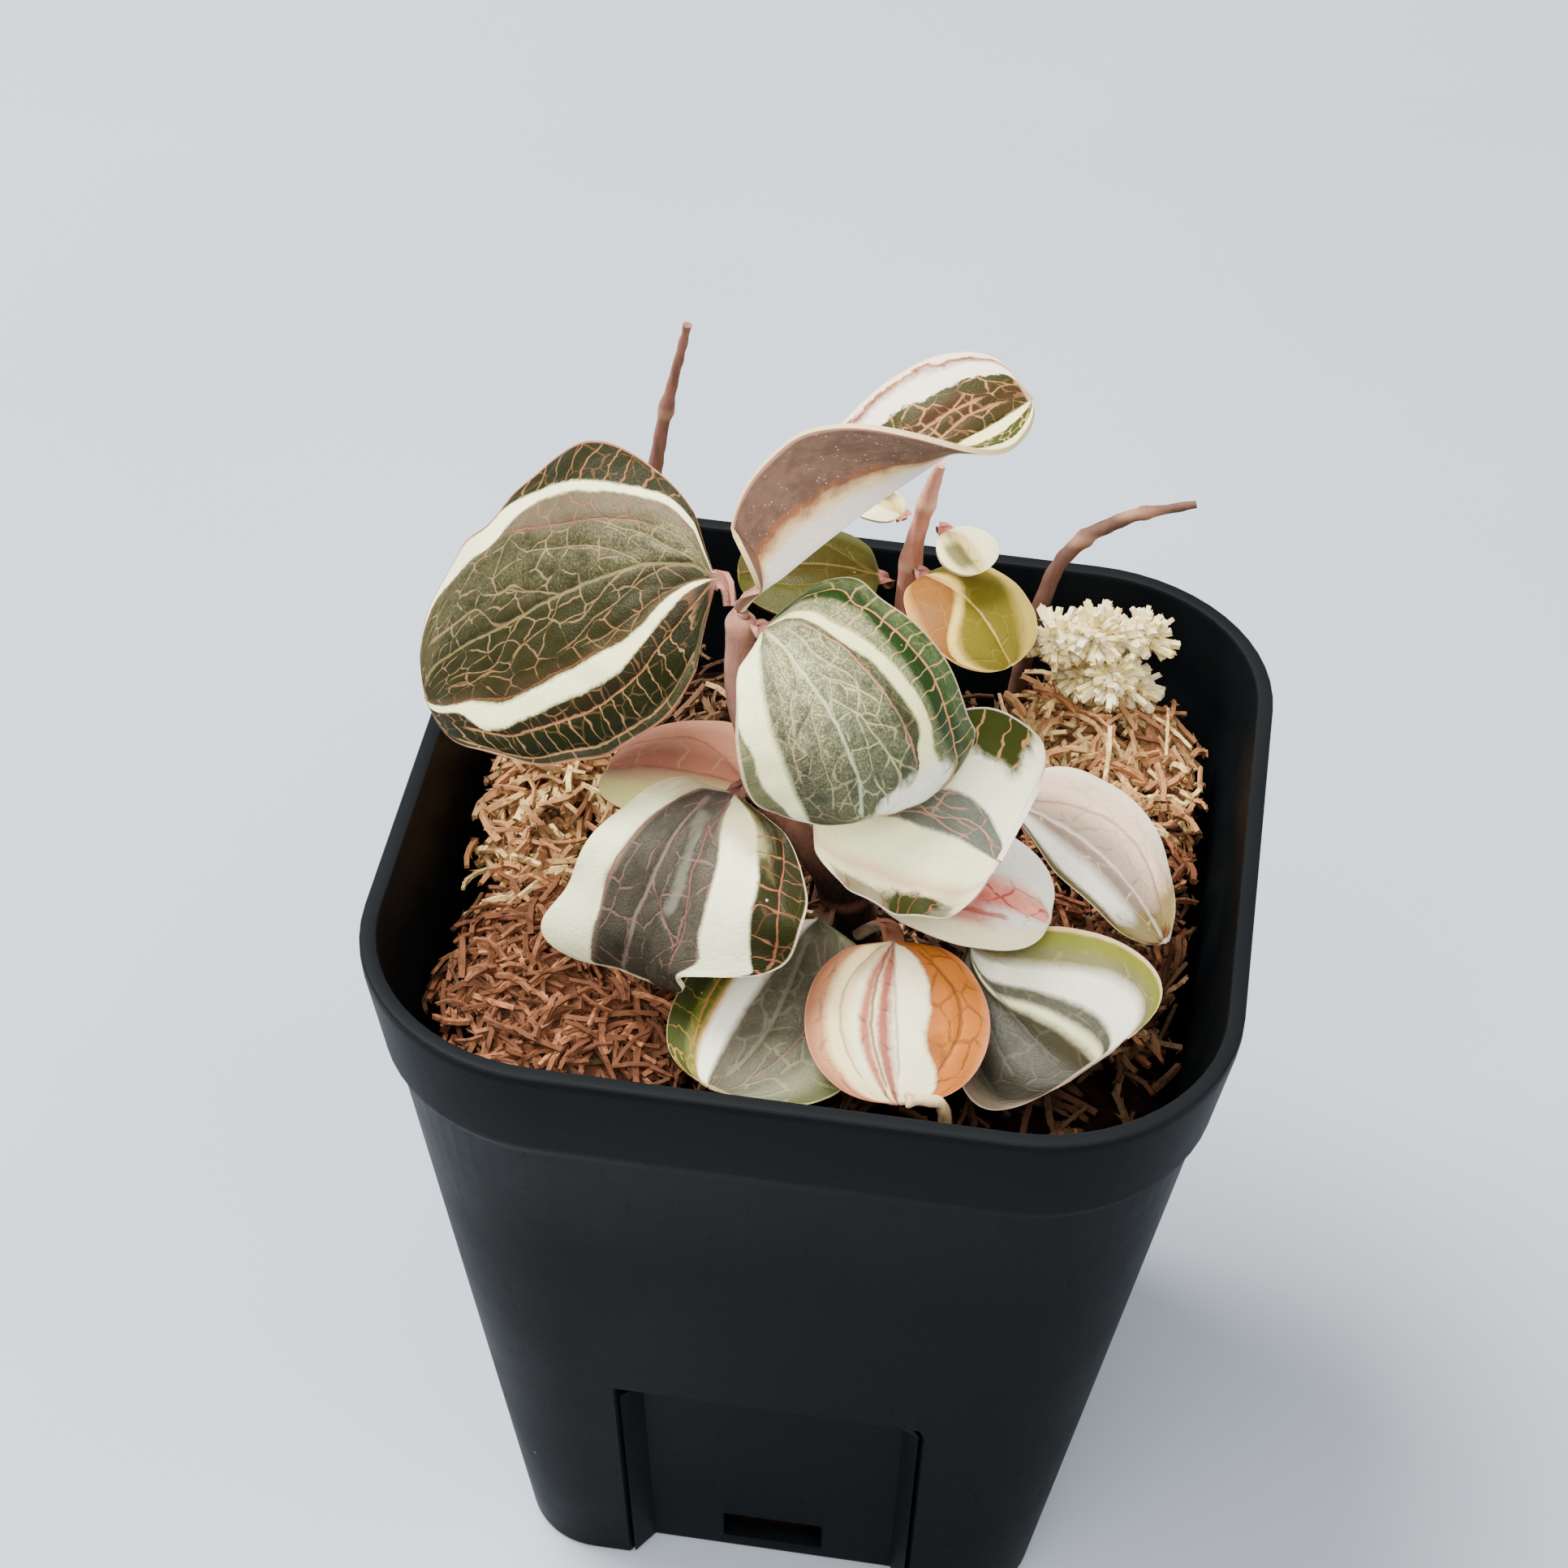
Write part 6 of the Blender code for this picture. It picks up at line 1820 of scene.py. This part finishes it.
@dataclass
class MossBed:
    """The moss: strands strewn by seeded draws over the lumpy bed."""

    LENGTHS = (0.6, 1.25)       # lowest and highest shares of a zone's strand length
    HEAD_LENGTHS = (0.6, 1.2)   # the same on a round head
    WIDTHS = (0.7, 1.35)        # the same for widths
    TURN = 3.4                  # most that a strand turns over its length
    ARCHES = (0.3, 2.2)         # rise of a strand's middle, mm
    SLOPES = (-0.8, 1.2)        # rise from end to end, mm
    SINK = 0.7                  # how deep a strand lies in the bed, mm
    HEAD_RISES = (-0.35, 1.0)   # upward part of a strand's way out of a head
    BEND = 0.4
    TAPER = 0.85
    TAPER_POWER = 2.5
    CORE_BUMPS = 0.9
    # The strand's parts, in strand widths and degrees
    AXIS_RADIUS = 0.32
    LEAFLET_RADIUS = 0.38
    LEAFLET_LENGTH = 1.3
    LEAFLET_FLATNESS = 0.45
    LEAFLET_FOOT = (0.08, 0.62)     # out from the axis, and along the leaflet
    LEAFLET_TURN = 2.4              # radians from one leaflet to the next
    LEAFLET_TILT = (24, 14)         # usual tilt, and how far it swings
    CORE_UV = (0.3, 0.2)

    level: float = 62.0
    ripple: float = 0.45
    limit: float = 31.0
    lobe_limit: float = 31.6
    corner: float = 12.5
    whole: float = 25.0     # spread from which a zone covers the whole bed
    pieces: int = 12        # straight pieces of a strand's path
    seed: int = 21
    segments: int = 6
    leaflets: int = 7
    usual_length: float = 8.0
    usual_width: float = 0.85
    mounds: tuple[tuple[float, float, float, float], ...] = (
        (-21.0, -13.0, 9.0, 3.6), (-22.0, 8.0, 9.0, 4.6), (24.0, 4.0, 7.0, 3.6), (19.0, 24.0, 7.0, 3.0),
        (0.0, 25.0, 8.0, 3.6), (3.0, -5.0, 5.0, 2.4), (-10.0, 22.0, 8.0, 3.0))

    def __post_init__(self) -> None:
        """Start the draws and model the strand."""
        self.draw = random.Random(self.seed)
        self.points, self.faces = self.template()

    def height(self, x: np.ndarray, y: np.ndarray) -> np.ndarray:
        """Height of the bed's top at places."""
        z = self.level + self.ripple * np.sin(x / 2.3 + 0.8) * np.sin(y / 2.6 + 2.0)
        for centre_x, centre_y, spread, rise in self.mounds:
            z = z + rise * np.exp(-((x - centre_x) ** 2 + (y - centre_y) ** 2) / (spread * spread))
        return z

    def template(self) -> tuple[np.ndarray, list[list[int]]]:
        """One straight strand with small overlapping leaflets, modelled once.

        Returns:
            Its points, with x and y across in strand widths and z from 0 to 1 along, and its faces.
        """
        Bench.clear()
        bpy.ops.mesh.primitive_cylinder_add(vertices=4, radius=self.AXIS_RADIUS, depth=1.0,
                                            location=(0.0, 0.0, 0.5))
        axis = Bench.take("strand")
        with Bench.editing(axis):
            for cut in range(1, self.segments):
                bpy.ops.mesh.select_all(action="SELECT")
                bpy.ops.mesh.bisect(plane_co=(0.0, 0.0, cut / self.segments), plane_no=(0.0, 0.0, 1.0))
        parts = [axis]
        shrink = self.usual_width / self.usual_length
        out, foot = self.LEAFLET_FOOT
        usual, swing = self.LEAFLET_TILT
        for number in range(self.leaflets):
            share = (number + 0.3) / self.leaflets
            Bench.clear()
            bpy.ops.mesh.primitive_cone_add(vertices=3, radius1=self.LEAFLET_RADIUS, radius2=0.0,
                                            depth=self.LEAFLET_LENGTH)
            leaflet = Bench.take("leaflet")
            tilt = math.radians(usual + swing * math.sin(5.0 * number))
            place = (Matrix.Translation((0.0, 0.0, share)) @ Matrix.Diagonal((1.0, 1.0, shrink, 1.0))
                     @ Matrix.Rotation(self.LEAFLET_TURN * number, 4, "Z")
                     @ Matrix.Translation((out, 0.0, 0.0)) @ Matrix.Rotation(tilt, 4, "Y")
                     @ Matrix.Diagonal((self.LEAFLET_FLATNESS, 1.0, 1.0, 1.0))
                     @ Matrix.Translation((0.0, 0.0, foot)))
            leaflet.data.transform(place)
            parts.append(leaflet)
        Bench.join(parts, "strand")
        points = np.array([v.co[:] for v in axis.data.vertices])
        faces = [list(p.vertices) for p in axis.data.polygons]
        bpy.data.objects.remove(axis, do_unlink=True)
        return points, faces

    def inside(self, x: float, y: float, limit: float) -> bool:
        """True where a place is clear of the pot's rounded square wall."""
        over_x, over_y = abs(x) - (limit - self.corner), abs(y) - (limit - self.corner)
        if over_x < 0 or over_y < 0:
            return max(abs(x), abs(y)) < limit
        return math.hypot(over_x, over_y) < self.corner

    def path(self, zone: MossZone) -> Optional[np.ndarray]:
        """An arching, curling path for one strand.

        Args:
            zone: where and how the strand lies.

        Returns:
            The path's points, or None where the strand would leave the bed.
        """
        if zone.lobes:
            return self.lobe_path(zone)
        draw = self.draw
        angle, far = draw.uniform(0, 2 * math.pi), math.sqrt(draw.random())
        x = zone.centre[0] + zone.spread[0] * far * math.cos(angle)
        y = zone.centre[1] + zone.spread[1] * far * math.sin(angle)
        if zone.spread[0] > self.whole:
            x, y = draw.uniform(-self.limit, self.limit), draw.uniform(-self.limit, self.limit)
        length = zone.length * draw.uniform(*self.LENGTHS)
        steps = np.linspace(0.0, 1.0, self.pieces + 1)
        turns = draw.uniform(0, 2 * math.pi) + draw.uniform(-self.TURN, self.TURN) * steps ** 1.4
        xs, ys = (start + np.concatenate([[0.0], np.cumsum(way(turns[:-1]))]) * length / self.pieces
                  for start, way in ((x, np.cos), (y, np.sin)))
        if not all(self.inside(a, b, self.limit) for a, b in zip(xs, ys)):
            return None
        lift = zone.lift * (0.2 + 0.8 * draw.random() ** 1.5)
        rim = 1 - far ** 3 * 0.5 if zone.core else 1.0
        arch = draw.uniform(*self.ARCHES)
        zs = self.height(xs, ys) + lift * rim + arch * np.sin(math.pi * (0.1 + 0.85 * steps)) - self.SINK
        zs += draw.uniform(*self.SLOPES) * (steps - 0.4)
        return np.stack([xs, ys, zs], 1)

    def lobe_path(self, zone: MossZone) -> Optional[np.ndarray]:
        """A path that points out of one of a tuft's round heads and bends a little.

        Args:
            zone: zone with the heads.

        Returns:
            The path's points, or None where the strand would reach the pot's wall.
        """
        draw = self.draw
        x, y, z, radius = draw.choice(zone.lobes)
        turn, rise = draw.uniform(0, 2 * math.pi), draw.uniform(*self.HEAD_RISES)
        flat = math.sqrt(1 - rise * rise)
        way = np.array([math.cos(turn) * flat, math.sin(turn) * flat, rise])
        bend = np.array([draw.uniform(-1, 1), draw.uniform(-1, 1), draw.uniform(-1.2, 0.3)])
        steps = np.linspace(0.0, 1.0, self.pieces + 1)[:, None]
        length = zone.length * draw.uniform(*self.HEAD_LENGTHS)
        path = (np.array([x, y, z]) + way * (0.3 * radius + length * steps)
                + bend * self.BEND * length * steps ** 2)
        if all(self.inside(a, b, self.lobe_limit) for a, b, _ in path):
            return path
        return None

    def strand(self, zone: MossZone) -> Optional[np.ndarray]:
        """Bend the template along a path.

        Args:
            zone: where and how the strand lies.

        Returns:
            The bent points, or None where the strand would leave the bed.
        """
        path = self.path(zone)
        if path is None:
            return None
        points, draw = self.points, self.draw
        along = np.gradient(path, axis=0)
        along /= np.linalg.norm(along, axis=1)[:, None]
        side = np.stack([-along[:, 1], along[:, 0], np.full(len(path), 1e-6)], 1)
        side /= np.linalg.norm(side, axis=1)[:, None]
        up = np.cross(along, side)
        spin = draw.uniform(0, 2 * math.pi)
        place = np.clip(points[:, 2], 0.0, 1.0) * self.pieces
        low = np.minimum(place.astype(int), self.pieces - 1)
        part = (place - low)[:, None]
        centre, side_here, up_here = (row[low] * (1 - part) + row[low + 1] * part for row in (path, side, up))
        share = np.clip(points[:, 2], 0.0, 1.0)
        width = zone.width * draw.uniform(*self.WIDTHS) * (1 - self.TAPER * share ** self.TAPER_POWER)
        across = (points[:, 0] * math.cos(spin) - points[:, 1] * math.sin(spin)) * width
        rise = (points[:, 0] * math.sin(spin) + points[:, 1] * math.cos(spin)) * width
        return centre + side_here * across[:, None] + up_here * rise[:, None]

    def strew(self, zone: MossZone) -> Object:
        """All strands of a zone as one mesh.

        Args:
            zone: the zone.

        Returns:
            The mesh object, with a UV map that holds the place along each strand and the strand's own number.
        """
        points = self.points
        bent, all_faces, marks = [], [], []
        tries = 0
        while len(bent) < zone.count and tries < zone.count * 6:
            tries += 1
            made = self.strand(zone)
            if made is None:
                continue
            start = len(bent) * len(points)
            bent.append(made)
            all_faces += [[start + index for index in face] for face in self.faces]
            marks.append(np.stack([np.clip(points[:, 2], 0, 1), np.full(len(points), self.draw.random())], 1))
        mesh = bpy.data.meshes.new(zone.piece)
        mesh.from_pydata((np.concatenate(bent) * MM).tolist(), [], all_faces)
        mesh.update()
        item = Bench.put(zone.piece, mesh)
        layer = mesh.uv_layers.new(name="strand")
        corners = np.array([loop.vertex_index for loop in mesh.loops])
        layer.data.foreach_set("uv", np.concatenate(marks)[corners].astype(np.float32).ravel())
        return item

    def core(self, zone: MossZone) -> Object:
        """The low heap that a tuft's strands lie on."""
        Bench.clear()
        bpy.ops.mesh.primitive_ico_sphere_add(subdivisions=5, radius=1.0)
        item = Bench.take("core")
        for vertex in item.data.vertices:
            x = zone.centre[0] + zone.core[0] * vertex.co.x
            y = zone.centre[1] + zone.core[1] * vertex.co.y
            bumps = self.CORE_BUMPS * noise.noise(Vector((x, y, vertex.co.z * 3)) * 0.8)
            top = float(self.height(np.array(x), np.array(y))) - 0.2 + zone.core_lift
            vertex.co = Vector((x, y, top + zone.core[2] * vertex.co.z + bumps)) * MM
        layer = item.data.uv_layers[0]
        layer.name = "strand"
        for loop in layer.data:
            loop.uv = self.CORE_UV
        return item

    def dress(self, looks: MossFinish) -> Material:
        """Material of strands."""
        sheet = MaterialSheet(looks.name)
        point = sheet.millimetres()
        main, warm, pale = paint(looks.main), paint(looks.warm), paint(looks.pale)
        along, own, _ = sheet.parts(sheet.value("UVMap", {}, uv_map="strand"))
        tint = sheet.math("FRACT", own * 7.3)
        colour = sheet.ramp(own, [(0.0, main), (0.35, warm), (0.6, main), (0.85, pale), (1.0, main)])
        mottle = sheet.noise(point, 1.1, 4.0, 0.65)
        colour = sheet.cover(colour, looks.warm, sheet.fade(mottle, 0.42, 0.66))
        # Painted highlight: many strands are painted paler toward their free ends
        ends = sheet.fade(along, 0.45, 1.0) * sheet.fade(tint, 0.3, 0.9)
        colour = sheet.cover(colour, looks.pale, ends * (looks.tip_highlight_share * 1.6))
        # Painted shade: dark patches strewn by noise, standing for shade deep in the moss
        painted_shade = sheet.fade(sheet.noise(point, 0.4, 3.0, 0.6), 0.5, 0.7)
        colour = sheet.cover(colour, looks.painted_shade, painted_shade * 0.45)
        return sheet.finish(colour, mottle * 0.3 + 0.6, 0.08, sheet.noise(point, 5.0, 3.0, 0.7), 0.12, 0.7,
                            (0.15, (0.8, 0.7, 0.55), 0.8))

    def ground(self) -> Material:
        """Material of the bed under the strands."""
        sheet = MaterialSheet("moss_bed_ground")
        point = sheet.millimetres()
        shade = sheet.fade(sheet.noise(point, 0.7, 5.0, 0.7), 0.35, 0.7)
        return sheet.finish(sheet.mix(shade, paint("140805"), paint("3a190c")),
                            sheet.noise(point, 2.0, 3.0) * 0.2 + 0.75, 0.05,
                            sheet.noise(point, 1.6, 5.0, 0.75), 0.8, 0.9)

    def build(self) -> None:
        """Dress the bed, then strew every zone."""
        ground = self.ground()
        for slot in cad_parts["moss_bed"].material_slots:
            slot.material = ground
        for zone in ZONES:
            item = self.strew(zone)
            if zone.core:
                item = Bench.join([item, self.core(zone)], zone.piece)
            Bench.smooth(item, 50)
            hand_over(item, self.dress(zone.finish), zone.slot, zone.nodes)


# Studio

@dataclass
class Studio:
    """Floor, lights and camera."""

    focal_pixels: float = 4532.42
    camera_place: Point = (24.707, -221.079, 279.503)
    azimuth: float = 6.377
    elevation: float = 42.592
    roll: float = 2.881
    centre_right: float = 62.94
    centre_down: float = 21.28
    sensor: float = 36.0
    floor_side: float = 3.0
    world_colour: tuple[float, ...] = (0.93, 0.96, 1.0, 1.0)
    world_strength: float = 0.32
    aim: Point = (0.0, 0.0, 0.07)
    lights: tuple[tuple[str, Point, float, float], ...] = (
        ("key_softbox", (-0.4, 0.12, 0.86), 0.55, 26.0),
        ("fill_softbox", (0.65, -0.35, 0.8), 0.9, 9.0),
        ("front_softbox", (-0.15, -0.6, 0.95), 0.8, 11.0),
    )
    lamp_colour: tuple[float, float, float] = (1.0, 0.97, 0.91)

    def camera(self) -> None:
        """Camera at the photograph's viewing angle."""
        a, e, r = (math.radians(value) for value in (self.azimuth, self.elevation, self.roll))
        back = Vector((math.sin(a) * math.cos(e), -math.cos(a) * math.cos(e), math.sin(e)))
        level = Vector((math.cos(a), math.sin(a), 0.0))
        up = back.cross(level)
        right = level * math.cos(r) + up * math.sin(r)
        upward = up * math.cos(r) - level * math.sin(r)
        data = bpy.data.cameras.new("photo_camera")
        item = Bench.put("photo_camera", data)
        item.matrix_world = Matrix.Translation(Vector(self.camera_place) * MM) @ Matrix(
            (right, upward, back)).transposed().to_4x4()
        data.sensor_width = self.sensor
        data.lens = self.focal_pixels / PHOTO_SIZE * self.sensor
        data.shift_x = -self.centre_right / PHOTO_SIZE
        data.shift_y = self.centre_down / PHOTO_SIZE
        data.clip_start = 0.01
        data.clip_end = 20.0
        bpy.context.scene.camera = item

    def light(self) -> None:
        """Softboxes and a pale world."""
        for name, place, size, power in self.lights:
            data = bpy.data.lights.new(name, "AREA")
            data.shape = "DISK"
            data.size = size
            data.energy = power
            data.color = self.lamp_colour
            item = Bench.put(name, data)
            item.location = place
            item.rotation_euler = (Vector(place) - Vector(self.aim)).to_track_quat("Z", "Y").to_euler()
        world = bpy.data.worlds.new("pale_studio")
        bpy.context.scene.world = world
        world.use_nodes = True
        colour, strength = world.node_tree.nodes["Background"].inputs[:2]
        colour.default_value = self.world_colour
        strength.default_value = self.world_strength

    def floor(self) -> None:
        """Plain pale floor."""
        Bench.clear()
        bpy.ops.mesh.primitive_plane_add(size=self.floor_side)
        item = Bench.take("studio_floor")
        sheet = MaterialSheet("pale_floor")
        cloud = sheet.noise(sheet.millimetres(), 0.01, 3.0)
        sheet.feed(sheet.shader["Base Color"], sheet.mix(cloud, paint("c6cacf"), paint("cdd1d6")))
        sheet.feed(sheet.shader["Roughness"], 0.7)
        item.data.materials.append(sheet.material)

    def build(self) -> None:
        """Build the studio."""
        self.camera()
        self.light()
        self.floor()


def main() -> None:
    """Build the plant round its solids."""
    logging.basicConfig(level=logging.INFO, format="%(name)s: %(message)s")
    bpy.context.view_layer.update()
    Studio().build()
    effects = Effects()
    Pot().build(effects)
    MossBed().build()
    for stem in STEMS:
        stem.build(effects)
    for number, leaf in enumerate(LEAVES, 1):
        leaf.build(effects, number)
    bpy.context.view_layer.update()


if __name__ == "__main__":
    main()
